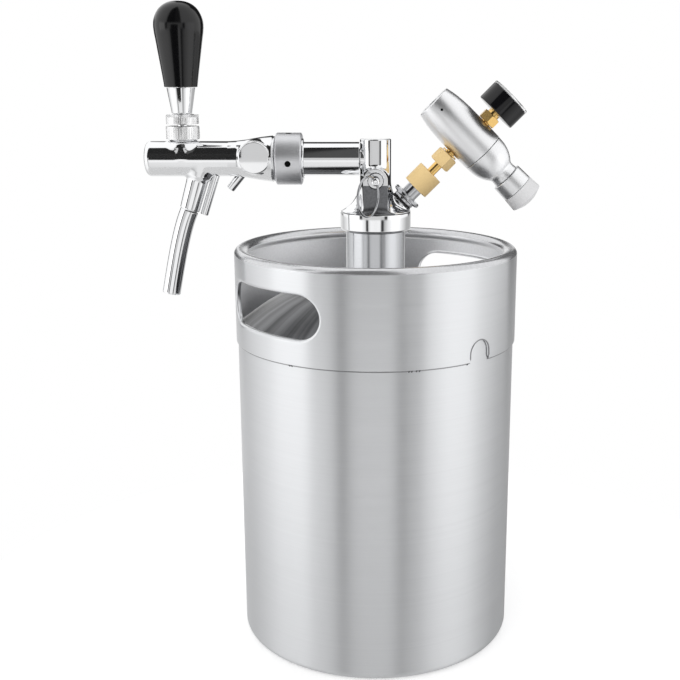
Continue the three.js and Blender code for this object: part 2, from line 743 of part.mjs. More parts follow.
// Coupling nut with a lip behind the arm's flange and round holes for a pin spanner
function couplingNut() {
  const outer = half(NUT_DIAMETER);
  const counterbore = half(ARM_RING) + FIT;
  const lip = half(ARM_DIAMETER) + FIT;
  const thread = half(NUT_THREAD);
  const outline = [
    [counterbore, NUT_START], [outer - EDGE, NUT_START], [outer, NUT_START + EDGE],
    [outer, NUT_END - EDGE], [outer - EDGE, NUT_END], [thread, NUT_END],
    [thread, NUT_LIP_END], [lip, NUT_LIP_END], [lip, NUT_LIP_START], [counterbore, NUT_LIP_START],
  ];
  const nut = turned(outline, WIDE_SIDES);
  const holes = [];
  for (let hole = 0; hole < SPANNER_HOLES; hole += 1) {
    const turn = (hole * 360) / SPANNER_HOLES - SPANNER_HOLE_TURN;
    const drill = rod(SPANNER_HOLE, outer - SPANNER_HOLE_DEPTH, outer + OVERRUN, PIN_SIDES);
    holes.push(alongMinusY(drill).rotateZ(-turn * DEGREE).translate(0, 0, half(NUT_START + NUT_END)));
  }
  return alongMinusX(cut(nut, ...holes));
}

function couplingWasher() {
  const start = ARM_END + FIT;
  const washer = tube(ARM_FLANGE, ARM_BORE, start, start + WASHER_THICKNESS, MIDDLE_SIDES);
  return alongMinusX(washer);
}

// Sector of the faucet's underside that the flow lever sweeps through
function flowSlot() {
  const inner = half(FLOW_BARREL);
  const outer = half(FLARE_DIAMETER) + 7 * EDGE;
  const margin = Math.asin((half(FLOW_LEVER_DIAMETER) + 2 * FIT) / inner) / DEGREE;
  const start = 180 + FLOW_LEVER_ANGLE - margin;
  const end = 180 + FLOW_LEVER_ANGLE + FLOW_LEVER_RANGE + margin;
  const points = [...arc([0, 0], inner, start, end, 4), ...arc([0, 0], outer, end, start, 4)];
  const shape = new THREE.Shape(points.map(([x, y]) => new THREE.Vector2(x, y)));
  const side = half(FLOW_LEVER_DIAMETER) + FIT;
  return alongMinusY(upright(shape, -side, side)).translate(-FLOW_REACH, 0, FLOW_RISE);
}

// Spout neck and the sockets for the spout and the vent, in the faucet's frame
const SPOUT_NECK_LENGTH = distance(SPOUT_NECK_TOP, SPOUT_NECK_FOOT);
const VENT_LENGTH = distance(VENT_TOP, VENT_FOOT);

// Faucet body: threaded shank, flare, barrel with a rounded nose, bonnet, cross boss and spout neck
function faucetBody() {
  const shank = half(SHANK_DIAMETER);
  const flare = half(FLARE_DIAMETER);
  const barrel = half(FAUCET_DIAMETER);
  const flareRun = FLARE_END - FLARE_START;
  const flareDrop = flare - barrel;
  const flare_shares = [[0.3, 0.7], [0.6, 0.28]];
  const nose_shares = [[0.9, 0.6], [0.6, 0.92]];
  const outline = [
    [0, SHANK_START],
    [shank, SHANK_START],
    [shank, NUT_END + FIT],
    [flare - half(EDGE), NUT_END + EDGE],
    [flare - half(EDGE), FLARE_START - half(EDGE)],
    [flare, FLARE_START],
    ...flare_shares.map(([out, left]) => [barrel + flareDrop * left, FLARE_START + flareRun * out]),
    [barrel, FLARE_END],
    [barrel, FAUCET_END - FAUCET_NOSE],
    ...nose_shares.map(([out, along]) => [barrel * out, FAUCET_END - FAUCET_NOSE * (1 - along)]),
    [0, FAUCET_END],
  ];
  const main = alongMinusX(turned(outline, MIDDLE_SIDES));

  const bonnetFlare = half(BONNET_DIAMETER) + EDGE * 3;
  const bonnetTop = PIVOT_HEIGHT + BONNET_NUT_BOTTOM;
  const threadFoot = bonnetTop + FIT;
  const threadTop = PIVOT_HEIGHT - half(BALL_DIAMETER) + 4 * EDGE + 4 * FIT + FIT;
  const bonnet = turned([
    [0, 0], [bonnetFlare, 0], [bonnetFlare, barrel - 2 * EDGE],
    [half(BONNET_DIAMETER), barrel + EDGE], [half(BONNET_DIAMETER), threadFoot],
    [half(BONNET_THREAD), threadFoot + FIT], [half(BONNET_THREAD), threadTop], [0, threadTop],
  ], MIDDLE_SIDES).translate(-LEVER_REACH, 0, 0);

  const cross = alongMinusY(
    chamferedRod(FLOW_BOSS, -FLOW_BOSS_FACE, FLOW_BOSS_FACE, EDGE, MIDDLE_SIDES),
  ).translate(-FLOW_REACH, 0, FLOW_RISE);

  const wide = half(SPOUT_NECK_WIDE);
  const narrow = half(SPOUT_NECK_NARROW);
  const neckStart = -half(FAUCET_DIAMETER);
  const downSpout = (geometry) => onLine(geometry, SPOUT_NECK_TOP, SPOUT_NECK_FOOT);
  const spoutNeck = downSpout(turned([
    [0, neckStart], [wide + 2 * EDGE, neckStart], [wide + 2 * EDGE, -2 * EDGE], [wide, 2 * EDGE],
    [narrow, SPOUT_NECK_LENGTH - EDGE], [narrow - half(EDGE), SPOUT_NECK_LENGTH],
    [0, SPOUT_NECK_LENGTH],
  ], SMALL_SIDES));

  const casting = join(main, bonnet, cross, spoutNeck);
  const seatFace = SEAT_START + SEAT_LENGTH;
  const socketStart = SPOUT_NECK_LENGTH - SPOUT_SOCKET_DEPTH;
  const slotSide = half(TAIL_BALL) + 2 * FIT;
  const slotReach = TAIL_LENGTH * Math.sin(LEVER_RANGE * DEGREE) + slotSide;
  const atCross = (geometry) => alongMinusY(geometry).translate(-FLOW_REACH, 0, FLOW_RISE);
  const crossEnd = -FLOW_BOSS_FACE + FLOW_WALL;
  const crossBore = rod(FLOW_BARREL + 2 * FIT, crossEnd, FLOW_BOSS_FACE + OVERRUN, MIDDLE_SIDES);
  const spotFace = rod(FLOW_BOSS + FIT, FLOW_BOSS_FACE, FLOW_BOSS, MIDDLE_SIDES);
  return cut(
    casting,
    alongMinusX(rod(BARREL_WAY, SHANK_START - OVERRUN, SEAT_START, SMALL_SIDES)),
    alongMinusX(rod(SEAT_BORE, SEAT_START - FIT, seatFace + FIT, SMALL_SIDES)),
    alongMinusX(rod(OUTLET_WAY, seatFace, OUTLET_END, SMALL_SIDES)),
    rod(BONNET_WAY, 0, threadTop + OVERRUN, SMALL_SIDES).translate(-LEVER_REACH, 0, 0),
    rod(SEAT_RING_DIAMETER + 2 * FIT, threadTop - 5 * FIT, threadTop + OVERRUN, MIDDLE_SIDES)
      .translate(-LEVER_REACH, 0, 0),
    block(
      [-LEVER_REACH - slotSide, -slotSide, 0],
      [-LEVER_REACH + slotReach, slotSide, barrel - 2 * EDGE],
    ),
    atCross(crossBore),
    atCross(spotFace),
    flowSlot(),
    downSpout(rod(SPOUT_WAY, neckStart, SPOUT_NECK_LENGTH + OVERRUN, SMALL_SIDES)),
    downSpout(rod(SPOUT_SOCKET, socketStart, SPOUT_NECK_LENGTH + OVERRUN, SMALL_SIDES)),
    onLine(rod(VENT_DIAMETER + 2 * FIT, -VENT_SOCKET, 2 * OVERRUN, PIN_SIDES), VENT_TOP, VENT_FOOT),
    onLine(rod(VENT_WAY, -half(FAUCET_DIAMETER), 0, PIN_SIDES), VENT_TOP, VENT_FOOT),
  );
}

// Spout: a straight spigot in the neck's socket, then a bent tube
function spoutTube() {
  const outer = half(SPOUT_DIAMETER);
  const bore = outer - SPOUT_WALL;
  const place = ([x, z]) => new THREE.Vector3(x, 0, z);
  const down = place(SPOUT_NECK_FOOT).sub(place(SPOUT_NECK_TOP)).normalize();
  const start = place(SPOUT_NECK_FOOT).addScaledVector(down, FIT);
  const path = new THREE.CatmullRomCurve3([
    start,
    start.clone().addScaledVector(down, SPOUT_DIAMETER),
    place(SPOUT_MIDDLE),
    place(SPOUT_FOOT),
  ]);
  const shape = new THREE.Shape();
  shape.absarc(0, 0, outer, 0, 2 * Math.PI, false);
  const hole = new THREE.Path();
  hole.absarc(0, 0, bore, 0, 2 * Math.PI, true);
  shape.holes.push(hole);
  const bent = new THREE.ExtrudeGeometry(shape, {
    steps: 7,
    curveSegments: half(SMALL_SIDES),
    bevelEnabled: false,
    extrudePath: path,
  });
  const spigotOuter = SPOUT_SOCKET - 2 * FIT;
  const from = SPOUT_NECK_LENGTH - SPOUT_SOCKET_DEPTH + FIT;
  const spigot = onLine(
    tube(spigotOuter, 2 * bore - FIT, from, SPOUT_NECK_LENGTH + 2 * FIT, SMALL_SIDES),
    SPOUT_NECK_TOP,
    SPOUT_NECK_FOOT,
  );
  return join(bent, spigot);
}

function ventTube() {
  const vent = tube(VENT_DIAMETER, VENT_WAY, -VENT_SOCKET + FIT, VENT_LENGTH, PIN_SIDES);
  return onLine(vent, VENT_TOP, VENT_FOOT);
}

// Radius of a sphere about the lever's pivot at a height from the pivot
const sphereAt = (radius, height) => Math.sqrt(radius * radius - height * height);

// Outline points on such a sphere between two heights
function spherePoints(radius, low, high, steps) {
  const points = [];
  for (let step = 0; step <= steps; step += 1) {
    const height = low + ((high - low) * step) / steps;
    points.push([sphereAt(radius, height), height]);
  }
  return points;
}

const SOCKET_RADIUS = half(BALL_DIAMETER) + FIT;
const BONNET_THREAD_TOP = -half(BALL_DIAMETER) + 4 * EDGE + 4 * FIT + FIT;
const SEAT_RING_FOOT = BONNET_THREAD_TOP - 4 * FIT;

// Nylon seat under the lever's ball, heights from the pivot as for all pieces of the lever
function leverSeat() {
  const outer = half(SEAT_RING_DIAMETER);
  const top = -EDGE;
  const inside = spherePoints(SOCKET_RADIUS, top, SEAT_RING_FOOT, 3);
  return turned([[outer, SEAT_RING_FOOT], [outer, top], ...inside], MIDDLE_SIDES);
}

// Friction washer over the ball, under the bonnet nut's lip
function leverWasher() {
  const outer = half(BONNET_THREAD);
  const top = BONNET_NUT_TOP - BONNET_NUT_LIP - FIT;
  const foot = top - 2 * EDGE;
  return turned([[outer, foot], [outer, top], ...spherePoints(SOCKET_RADIUS, top, foot, 3)], MIDDLE_SIDES);
}

function bonnetNut() {
  const outer = half(BONNET_NUT_DIAMETER);
  const bore = half(BONNET_THREAD) + FIT;
  const opening = half(BONNET_NUT_OPENING);
  const lip = BONNET_NUT_TOP - BONNET_NUT_LIP;
  const outline = [
    [bore, BONNET_NUT_BOTTOM], [outer - half(EDGE), BONNET_NUT_BOTTOM],
    [outer, BONNET_NUT_BOTTOM + half(EDGE)], [outer, BONNET_NUT_TOP], [opening, BONNET_NUT_TOP],
    [opening, lip], [bore, lip],
  ];
  return turned(outline, MIDDLE_SIDES);
}

// Lever stem: stud, ball and tail with a small ball that drives the shuttle
function leverStem() {
  const stud = half(STUD_DIAMETER);
  const tail = half(TAIL_DIAMETER);
  const ball = half(BALL_DIAMETER);
  const small = half(TAIL_BALL);
  const joinHeight = sphereAt(small, tail);
  const tailBall = arc([0, -TAIL_LENGTH], small, -90, Math.asin(joinHeight / small) / DEGREE, 3);
  const start = -Math.acos(tail / ball) / DEGREE;
  const end = Math.acos(stud / ball) / DEGREE;
  const outline = [...tailBall, ...arc([0, 0], ball, start, end, 6), [stud, STUD_TOP], [0, STUD_TOP]];
  return turned(outline, SMALL_SIDES);
}

// Knurled ring that locks the handle; its hollow underside clears the bonnet nut as the lever tilts
function handleLockRing() {
  const outer = half(LOCK_RING_DIAMETER);
  const bore = half(STUD_DIAMETER) + FIT;
  const hollow = Math.hypot(half(BONNET_NUT_DIAMETER), BONNET_NUT_TOP) + FIT;
  const cone = LOCK_RING_TOP - 2 * EDGE;
  const inside = [];
  for (let step = 0; step <= 4; step += 1) {
    const radius = bore + ((outer - bore) * step) / 4;
    inside.push([radius, sphereAt(hollow, radius)]);
  }
  const outline = [...inside, [outer, cone - half(EDGE)], [outer - half(EDGE), cone],
    [half(FERRULE_NARROW), LOCK_RING_TOP], [bore, LOCK_RING_TOP]];
  return turned(outline, MIDDLE_SIDES);
}

function handleFerrule() {
  const bore = half(STUD_DIAMETER) + FIT;
  const outline = [
    [bore, FERRULE_BOTTOM], [half(FERRULE_NARROW), FERRULE_BOTTOM],
    [half(FERRULE_WIDE), FERRULE_TOP], [bore, FERRULE_TOP],
  ];
  return turned(outline, MIDDLE_SIDES);
}

// Black handle, waisted at its foot and round at its top, bored for the stud
function tapHandle() {
  const low = FERRULE_TOP + FIT;
  const foot = half(HANDLE_FOOT);
  const swell = half(HANDLE_DIAMETER) - foot;
  const bore = half(STUD_DIAMETER) + FIT;
  const handle_shares = [
    [0.16, 0.12], [0.49, 0.33], [0.84, 0.57], [1, 0.69], [0.94, 0.78], [0.7, 0.845], [0.27, 0.912],
  ];
  const wide = half(HANDLE_DIAMETER);
  const crown_shares = [[0.5, 0.97]];
  const outline = [
    [bore, low],
    [foot, low],
    ...handle_shares.map(([out, up]) => [foot + swell * out, low + HANDLE_LENGTH * up]),
    ...crown_shares.map(([out, up]) => [wide * out, low + HANDLE_LENGTH * up]),
    [0, low + HANDLE_LENGTH],
    [0, STUD_TOP + FIT],
    [bore, STUD_TOP + FIT],
  ];
  return turned(outline, MIDDLE_SIDES);
}

// Shuttle: guide head with a slot for the lever's tail, rod through the seat and a retaining disc
function shuttle() {
  const head = half(SHUTTLE_DIAMETER);
  const disc = head - EDGE;
  const shaft = half(SHUTTLE_ROD);
  const sealFace = SEAT_START - FIT - SHUTTLE_SEAL - FIT;
  const outline = [
    [0, sealFace - RETAINER_DISC], [disc, sealFace - RETAINER_DISC], [disc, sealFace],
    [shaft, sealFace], [shaft, SHUTTLE_START], [head, SHUTTLE_START], [head, SHUTTLE_END],
    [0, SHUTTLE_END],
  ];
  const body = alongMinusX(turned(outline, SMALL_SIDES));
  const side = half(SHUTTLE_SLOT);
  const slot = block(
    [-LEVER_REACH - side, -side, EDGE - FIT],
    [-LEVER_REACH + side, side, head + OVERRUN],
  );
  return cut(body, slot);
}

function shuttleSeal() {
  const end = SEAT_START - FIT;
  return alongMinusX(
    tube(SHUTTLE_DIAMETER, SHUTTLE_ROD + 2 * FIT, end - SHUTTLE_SEAL, end, SMALL_SIDES),
  );
}

// Pieces of the flow control, made with the barrel's axis along -Y through their origin
const FLOW_BARREL_FACE = FLOW_BOSS_FACE - FIT;

function flowLeverTool(diameter, from, to) {
  const angle = 180 - FLOW_LEVER_ANGLE;
  return alongX(rod(diameter, from, to, PIN_SIDES)).rotateY(angle * DEGREE);
}

function flowBarrel() {
  const body = alongMinusY(
    rod(FLOW_BARREL, -FLOW_BOSS_FACE + FLOW_WALL + FIT, FLOW_BARREL_FACE, MIDDLE_SIDES),
  );
  const port = alongX(rod(FLOW_PORT, -FLOW_BARREL, FLOW_BARREL, SMALL_SIDES));
  const seat = half(FLOW_BARREL) - 2 * EDGE;
  return cut(body, port, flowLeverTool(FLOW_LEVER_DIAMETER + 2 * FIT, seat, FLOW_BARREL));
}

function flowLever() {
  const start = half(FLOW_BARREL) - 2 * EDGE + FIT;
  const lever = chamferedRod(FLOW_LEVER_DIAMETER, start, FLOW_LEVER_LENGTH, half(EDGE), PIN_SIDES);
  return alongX(lever).rotateY((180 - FLOW_LEVER_ANGLE) * DEGREE);
}

function flowCap() {
  const low = FLOW_BOSS_FACE + FIT;
  const radius = half(FLOW_CAP_DIAMETER);
  const outline = [
    [0, low], [radius, low], [radius, FLOW_CAP_FACE - EDGE], [radius - EDGE, FLOW_CAP_FACE],
    [0, FLOW_CAP_FACE],
  ];
  return alongMinusY(turned(outline, MIDDLE_SIDES));
}

// Pieces of the relief valve, distances from the column's axis along -Y
const PLUG_FACE = PAD_FACE - FIT;
const PLUG_BACK = PLUG_FACE - PLUG_LENGTH;
const ROD_STEP = PLUG_BACK + FIT;
const SPRING_END = PLUG_BACK - FIT;
const SEAL_SEAT = RELIEF_SEAT + FIT;
const POPPET_BACK = SEAL_SEAT + RELIEF_SEAL + FIT;
const POPPET_FACE = POPPET_BACK + POPPET_THICKNESS;

function reliefPlug() {
  return alongMinusY(tube(PLUG_DIAMETER, PIN_DIAMETER + 2 * FIT, PLUG_BACK, PLUG_FACE, SMALL_SIDES));
}

// Directions that the pull ring shares with its eye: out along its plane, and along the wire there
const RING_OUT = new THREE.Vector3(
  -Math.cos(PULL_RING_HEADING * DEGREE),
  -Math.sin(PULL_RING_HEADING * DEGREE),
  0,
);
const RING_LEAN = PULL_RING_LEAN * DEGREE;
const UP = new THREE.Vector3(0, 0, 1);
const WIRE_WAY = RING_OUT.clone()
  .multiplyScalar(Math.cos(RING_LEAN))
  .addScaledVector(UP, Math.sin(RING_LEAN));
const RING_RADIUS = half(PULL_RING_DIAMETER - PULL_RING_WIRE);

// Relief stem: pin with the ring's eye, rod and poppet
function reliefStem() {
  const pin = half(PIN_DIAMETER);
  const shaft = half(RELIEF_ROD);
  const poppet = half(POPPET_DIAMETER);
  const outline = [
    [0, POPPET_BACK], [poppet, POPPET_BACK], [poppet, POPPET_FACE], [shaft, POPPET_FACE],
    [shaft, ROD_STEP], [pin, ROD_STEP], [pin, PIN_TIP - EDGE], [pin - EDGE, PIN_TIP], [0, PIN_TIP],
  ];
  const stem = alongMinusY(turned(outline, SMALL_SIDES));
  const eye = rod(EYE_DIAMETER, -PIN_DIAMETER, PIN_DIAMETER, SMALL_SIDES);
  eye.applyQuaternion(new THREE.Quaternion().setFromUnitVectors(UP, WIRE_WAY));
  return cut(stem, eye.translate(0, -PIN_EYE, 0));
}

function reliefSeal() {
  return alongMinusY(rod(POPPET_DIAMETER - 2 * FIT, SEAL_SEAT, SEAL_SEAT + RELIEF_SEAL, PIN_SIDES));
}

function reliefSpring() {
  const [outer, inner] = [POPPET_DIAMETER - FIT, RELIEF_ROD + 3 * FIT];
  return alongMinusY(tube(outer, inner, POPPET_FACE + FIT, SPRING_END, PIN_SIDES));
}

// Pull ring, round the origin in the XZ plane
function pullRing() {
  return new THREE.TorusGeometry(RING_RADIUS, half(PULL_RING_WIRE), WIRE_SIDES, WIDE_SIDES)
    .rotateX(QUARTER);
}

// Pieces on the gas axis, distances from the column's axis
const GAS_RING_START = GAS_BOSS_FACE + FIT;
const SHOULDER_START = GAS_RING_START + GAS_RING_THICKNESS + FIT;
const SHOULDER_END = SHOULDER_START + POST_SHOULDER_LENGTH;
const LOCK_NUT_START = SHOULDER_END + FIT;

function gasRing() {
  const end = GAS_RING_START + GAS_RING_THICKNESS;
  return tube(GAS_RING, GAS_THREAD + 2 * FIT, GAS_RING_START, end, MIDDLE_SIDES);
}

function gasPost() {
  const bore = half(POST_BORE);
  const thread = half(GAS_THREAD);
  const shoulder = half(POST_SHOULDER);
  const post = half(POST_DIAMETER);
  const outline = [
    [bore, GAS_THREAD_START + FIT], [thread, GAS_THREAD_START + FIT], [thread, SHOULDER_START],
    [shoulder, SHOULDER_START], [shoulder, SHOULDER_END], [post, SHOULDER_END], [post, POST_END],
    [bore, POST_END],
  ];
  return turned(outline, SMALL_SIDES);
}

function gasLockNut() {
  const outer = half(LOCK_NUT_DIAMETER);
  const bore = half(POST_DIAMETER) + FIT;
  const end = LOCK_NUT_START + LOCK_NUT_THICKNESS;
  const outline = [
    [bore, LOCK_NUT_START], [outer - EDGE, LOCK_NUT_START], [outer, LOCK_NUT_START + EDGE],
    [outer, end - EDGE], [outer - EDGE, end], [bore, end],
  ];
  return turned(outline, MIDDLE_SIDES);
}

// Brass coupler over the post, with a smaller hole at its far end for the stem
function gasCoupler() {
  const outer = half(COUPLER_DIAMETER);
  const bore = half(POST_DIAMETER) + FIT;
  const neck = half(STEM_DIAMETER) + FIT;
  const inside = COUPLER_END - COUPLER_TOP_WALL;
  const outline = [
    [bore, COUPLER_START], [outer - half(EDGE), COUPLER_START], [outer, COUPLER_START + half(EDGE)],
    [outer, COUPLER_END - half(EDGE)], [outer - half(EDGE), COUPLER_END], [neck, COUPLER_END],
    [neck, inside], [bore, inside],
  ];
  return turned(outline, MIDDLE_SIDES);
}

const STEM_HEAD_START = SWIVEL_NUT_START + 2 * FIT;
const STEM_HEAD_END = STEM_HEAD_START + SWIVEL_HEAD_LENGTH;

function gasStem() {
  const bore = half(STEM_BORE);
  const neck = half(STEM_DIAMETER);
  const flange = half(STEM_FLANGE);
  const head = half(STEM_HEAD);
  const flangeEnd = COUPLER_END - COUPLER_TOP_WALL - FIT;
  const outline = [
    [bore, flangeEnd - STEM_FLANGE_THICKNESS], [flange, flangeEnd - STEM_FLANGE_THICKNESS],
    [flange, flangeEnd], [neck, flangeEnd], [neck, STEM_HEAD_START], [head, STEM_HEAD_START],
    [head, STEM_HEAD_END], [bore, STEM_HEAD_END],
  ];
  return turned(outline, SMALL_SIDES);
}

const OUTLET_FLANGE_START = STEM_HEAD_END + FIT;
const OUTLET_FLANGE_END = OUTLET_FLANGE_START + OUTLET_FLANGE;

// Swivel nut: threaded on the stem's head, its lip behind the outlet's flange
function swivelNut() {
  const bar = hexagon(SWIVEL_NUT_FLATS, SWIVEL_NUT_START, SWIVEL_NUT_END);
  const lip = SWIVEL_NUT_END - SWIVEL_NUT_LIP;
  return cut(
    bar,
    rod(STEM_HEAD + 2 * FIT, SWIVEL_NUT_START - OVERRUN, lip, SMALL_SIDES),
    rod(OUTLET_NECK + 2 * FIT, lip - FIT, SWIVEL_NUT_END + OVERRUN, SMALL_SIDES),
  );
}

const BARREL_SURFACE = REGULATOR_REACH - half(BARREL_DIAMETER);

function outletCollar() {
  const bore = half(STEM_BORE);
  const flange = half(STEM_HEAD);
  const neck = half(OUTLET_NECK);
  const collar = half(OUTLET_COLLAR);
  const spigot = half(OUTLET_SPIGOT);
  const outline = [
    [bore, OUTLET_FLANGE_START], [flange, OUTLET_FLANGE_START], [flange, OUTLET_FLANGE_END],
    [neck, OUTLET_FLANGE_END], [neck, SWIVEL_NUT_END + FIT], [collar, SWIVEL_NUT_END + FIT],
    [collar, BARREL_SURFACE - 2 * FIT], [spigot, BARREL_SURFACE - 2 * FIT],
    [spigot, BARREL_SURFACE + PISTON_THICKNESS - EDGE], [bore, BARREL_SURFACE + PISTON_THICKNESS - EDGE],
  ];
  return turned(outline, SMALL_SIDES);
}

// Regulator barrel, along +Z towards the knob; the gas axis leaves along +X and the gauge along -X
function regulatorBarrel() {
  const wide = half(BARREL_DIAMETER);
  const end = half(BARREL_END_DIAMETER);
  const reach = BARREL_SEAM - BARREL_END;
  const barrel_shares = [[0.58, 0.17], [0.96, 0.42]];
  const outline = [
    [0, BARREL_END],
    [end - EDGE, BARREL_END],
    [end, BARREL_END + EDGE],
    ...barrel_shares.map(([out, along]) => [end + (wide - end) * out, BARREL_END + reach * along]),
    [wide, BARREL_SEAM],
    [0, BARREL_SEAM],
  ];
  const side = (diameter, near, far) => rod(diameter, near, far, SMALL_SIDES);
  const spigotBore = (diameter, near) => side(diameter + 2 * FIT, near, wide + OVERRUN);
  return cut(
    turned(outline, MIDDLE_SIDES),
    side(SOCKET_MOUTH, BARREL_END - OVERRUN, BARREL_END + SOCKET_MOUTH_DEPTH),
    side(SOCKET_DIAMETER, BARREL_END - OVERRUN, BARREL_END + SOCKET_DEPTH),
    rod(VALVE_BORE, BARREL_END + SOCKET_DEPTH - FIT, CHAMBER_START + FIT, PIN_SIDES),
    rod(CHAMBER_DIAMETER, CHAMBER_START, BARREL_SEAM + OVERRUN, MIDDLE_SIDES),
    alongX(spigotBore(OUTLET_SPIGOT, half(BARREL_DIAMETER) - PISTON_THICKNESS)),
    alongMinusX(spigotBore(GAUGE_STEM_SPIGOT, half(BARREL_DIAMETER) - PISTON_THICKNESS))
      .translate(0, 0, GAUGE_PLACE),
    alongMinusY(rod(BREATHER_DIAMETER, wide - BREATHER_DEPTH - 2 * EDGE, wide + OVERRUN, PIN_SIDES))
      .translate(0, 0, BREATHER_PLACE),
  );
}

const SOCKET_FLOOR = BARREL_END + SOCKET_DEPTH;
const PIN_DISC_START = SOCKET_FLOOR - FIT - PIN_DISC_THICKNESS;

// Hollow-ground pin on a disc at the bottom of the cartridge socket
function piercingPin() {
  const disc = half(SOCKET_DIAMETER) - FIT;
  const outline = [
    [0, PIN_DISC_START - NEEDLE_LENGTH], [half(EDGE), PIN_DISC_START - NEEDLE_LENGTH + EDGE],
    [EDGE, PIN_DISC_START], [disc, PIN_DISC_START], [disc, SOCKET_FLOOR - FIT], [0, SOCKET_FLOOR - FIT],
  ];
  return turned(outline, SMALL_SIDES);
}

function cartridgeSeal() {
  const end = PIN_DISC_START - FIT;
  return tube(SOCKET_DIAMETER - 2 * FIT, 4 * EDGE, end - CARTRIDGE_SEAL, end, SMALL_SIDES);
}

const PISTON_GROOVE = PISTON_SEAL + 2 * FIT;
const PISTON_END = PISTON_START + PISTON_THICKNESS;
const PISTON_GROOVE_START = half(PISTON_START + PISTON_END) - half(PISTON_GROOVE);

function regulatorPiston() {
  const outer = half(CHAMBER_DIAMETER) - FIT;
  const groove = outer - PISTON_GROOVE;
  const nose = half(VALVE_BORE) - FIT;
  const outline = [
    [0, PISTON_START - PISTON_NOSE], [nose, PISTON_START - PISTON_NOSE], [nose, PISTON_START],
    [outer, PISTON_START], [outer, PISTON_GROOVE_START], [groove, PISTON_GROOVE_START],
    [groove, PISTON_GROOVE_START + PISTON_GROOVE], [outer, PISTON_GROOVE_START + PISTON_GROOVE],
    [outer, PISTON_END], [0, PISTON_END],
  ];
  return turned(outline, MIDDLE_SIDES);
}

function pistonSeal() {
  const start = PISTON_GROOVE_START + FIT;
  const outer = CHAMBER_DIAMETER - 2 * FIT;
  return tube(outer, outer - 2 * PISTON_SEAL, start, start + PISTON_SEAL, MIDDLE_SIDES);
}

function mainSpring() {
  const bore = SPRING_DIAMETER - 2 * SPRING_WIRE;
  return tube(SPRING_DIAMETER, bore, PISTON_END + FIT, BUTTON_START - FIT, SMALL_SIDES);
}

function springButton() {
  return rod(BUTTON_DIAMETER, BUTTON_START, BUTTON_START + BUTTON_THICKNESS, SMALL_SIDES);
}

function adjustingScrew() {
  const start = BUTTON_START + BUTTON_THICKNESS + FIT;
  return chamferedRod(SCREW_DIAMETER, start, SCREW_END, half(EDGE), SMALL_SIDES);
}

// Domed cap that screws into the barrel and guides the adjusting screw
function regulatorCap() {
  const wide = half(BARREL_DIAMETER) - half(FIT);
  const neck = half(CAP_NECK_DIAMETER);
  const spigot = half(CHAMBER_DIAMETER) - FIT;
  const cavity = half(BUTTON_DIAMETER) + FIT;
  const bore = half(SCREW_DIAMETER) + FIT;
  const start = BARREL_SEAM + FIT;
  const rise = CAP_NECK_START - start;
  const cap_shares = [[0.94, 0.35], [0.66, 0.66], [0.3, 0.87]];
  const outline = [
    [cavity, start - CAP_SPIGOT_LENGTH],
    [spigot, start - CAP_SPIGOT_LENGTH],
    [spigot, start],
    [wide, start],
    ...cap_shares.map(([out, up]) => [neck + (wide - neck) * out, start + rise * up]),
    [neck, CAP_NECK_START],
    [neck, CAP_NECK_END],
    [bore, CAP_NECK_END],
    [bore, CAP_CAVITY_END],
    [cavity, CAP_CAVITY_END],
  ];
  return turned(outline, MIDDLE_SIDES);
}

function knobCollar() {
  const bore = half(KNOB_STEM) + FIT;
  const outline = [
    [bore, KNOB_START], [half(KNOB_NARROW) - half(EDGE), KNOB_START],
    [half(KNOB_NARROW), KNOB_START + half(EDGE)], [half(KNOB_MIDDLE), KNOB_SEAM], [bore, KNOB_SEAM],
  ];
  return turned(outline, MIDDLE_SIDES);
}

// Grip of the knob, with a stem through the collar and a blind bore for the screw
function knobGrip() {
  const stem = half(KNOB_STEM);
  const bore = half(SCREW_DIAMETER) + FIT;
  const start = KNOB_SEAM + FIT;
  const outline = [
    [bore, KNOB_START], [stem, KNOB_START], [stem, start], [half(KNOB_MIDDLE), start],
    [half(KNOB_WIDE), KNOB_END - EDGE], [half(KNOB_WIDE) - EDGE, KNOB_END],
    [half(KNOB_STEM), KNOB_END + KNOB_CROWN - half(EDGE)], [0, KNOB_END + KNOB_CROWN],
    [0, SCREW_END + FIT], [bore, SCREW_END + FIT],
  ];
  return turned(outline, MIDDLE_SIDES);
}

// Gauge pieces, along +Z away from the barrel's axis
const GAUGE_FLOOR = GAUGE_BACK + GAUGE_BACK_WALL;

function gaugeStem() {
  const surface = half(BARREL_DIAMETER) + FIT;
  const spigot = rod(GAUGE_STEM_SPIGOT, surface - GAUGE_STEM_INSIDE, surface + EDGE, SMALL_SIDES);
  const hex = hexagon(GAUGE_HEX_FLATS, surface, GAUGE_HEX_END);
  const neck = rod(GAUGE_STEM_NECK, GAUGE_HEX_END - EDGE, GAUGE_BACK - FIT, SMALL_SIDES);
  const inside = rod(GAUGE_STEM_SPIGOT - 2 * FIT, GAUGE_BACK - EDGE, GAUGE_FLOOR + FIT, SMALL_SIDES);
  const way = rod(STEM_BORE, 0, GAUGE_FLOOR + OVERRUN, PIN_SIDES);
  return cut(join(spigot, hex, neck, inside), way);
}

function gaugeCase() {
  const outer = half(GAUGE_DIAMETER);
  const inner = outer - GAUGE_WALL;
  const ledge = inner - GAUGE_LEDGE;
  const hole = half(GAUGE_STEM_SPIGOT);
  const outline = [
    [hole, GAUGE_BACK], [outer - EDGE, GAUGE_BACK], [outer, GAUGE_BACK + EDGE], [outer, GAUGE_RIM],
    [inner, GAUGE_RIM], [inner, DIAL_PLACE - FIT], [ledge, DIAL_PLACE - FIT], [ledge, GAUGE_FLOOR],
    [hole, GAUGE_FLOOR],
  ];
  return turned(outline, MIDDLE_SIDES);
}

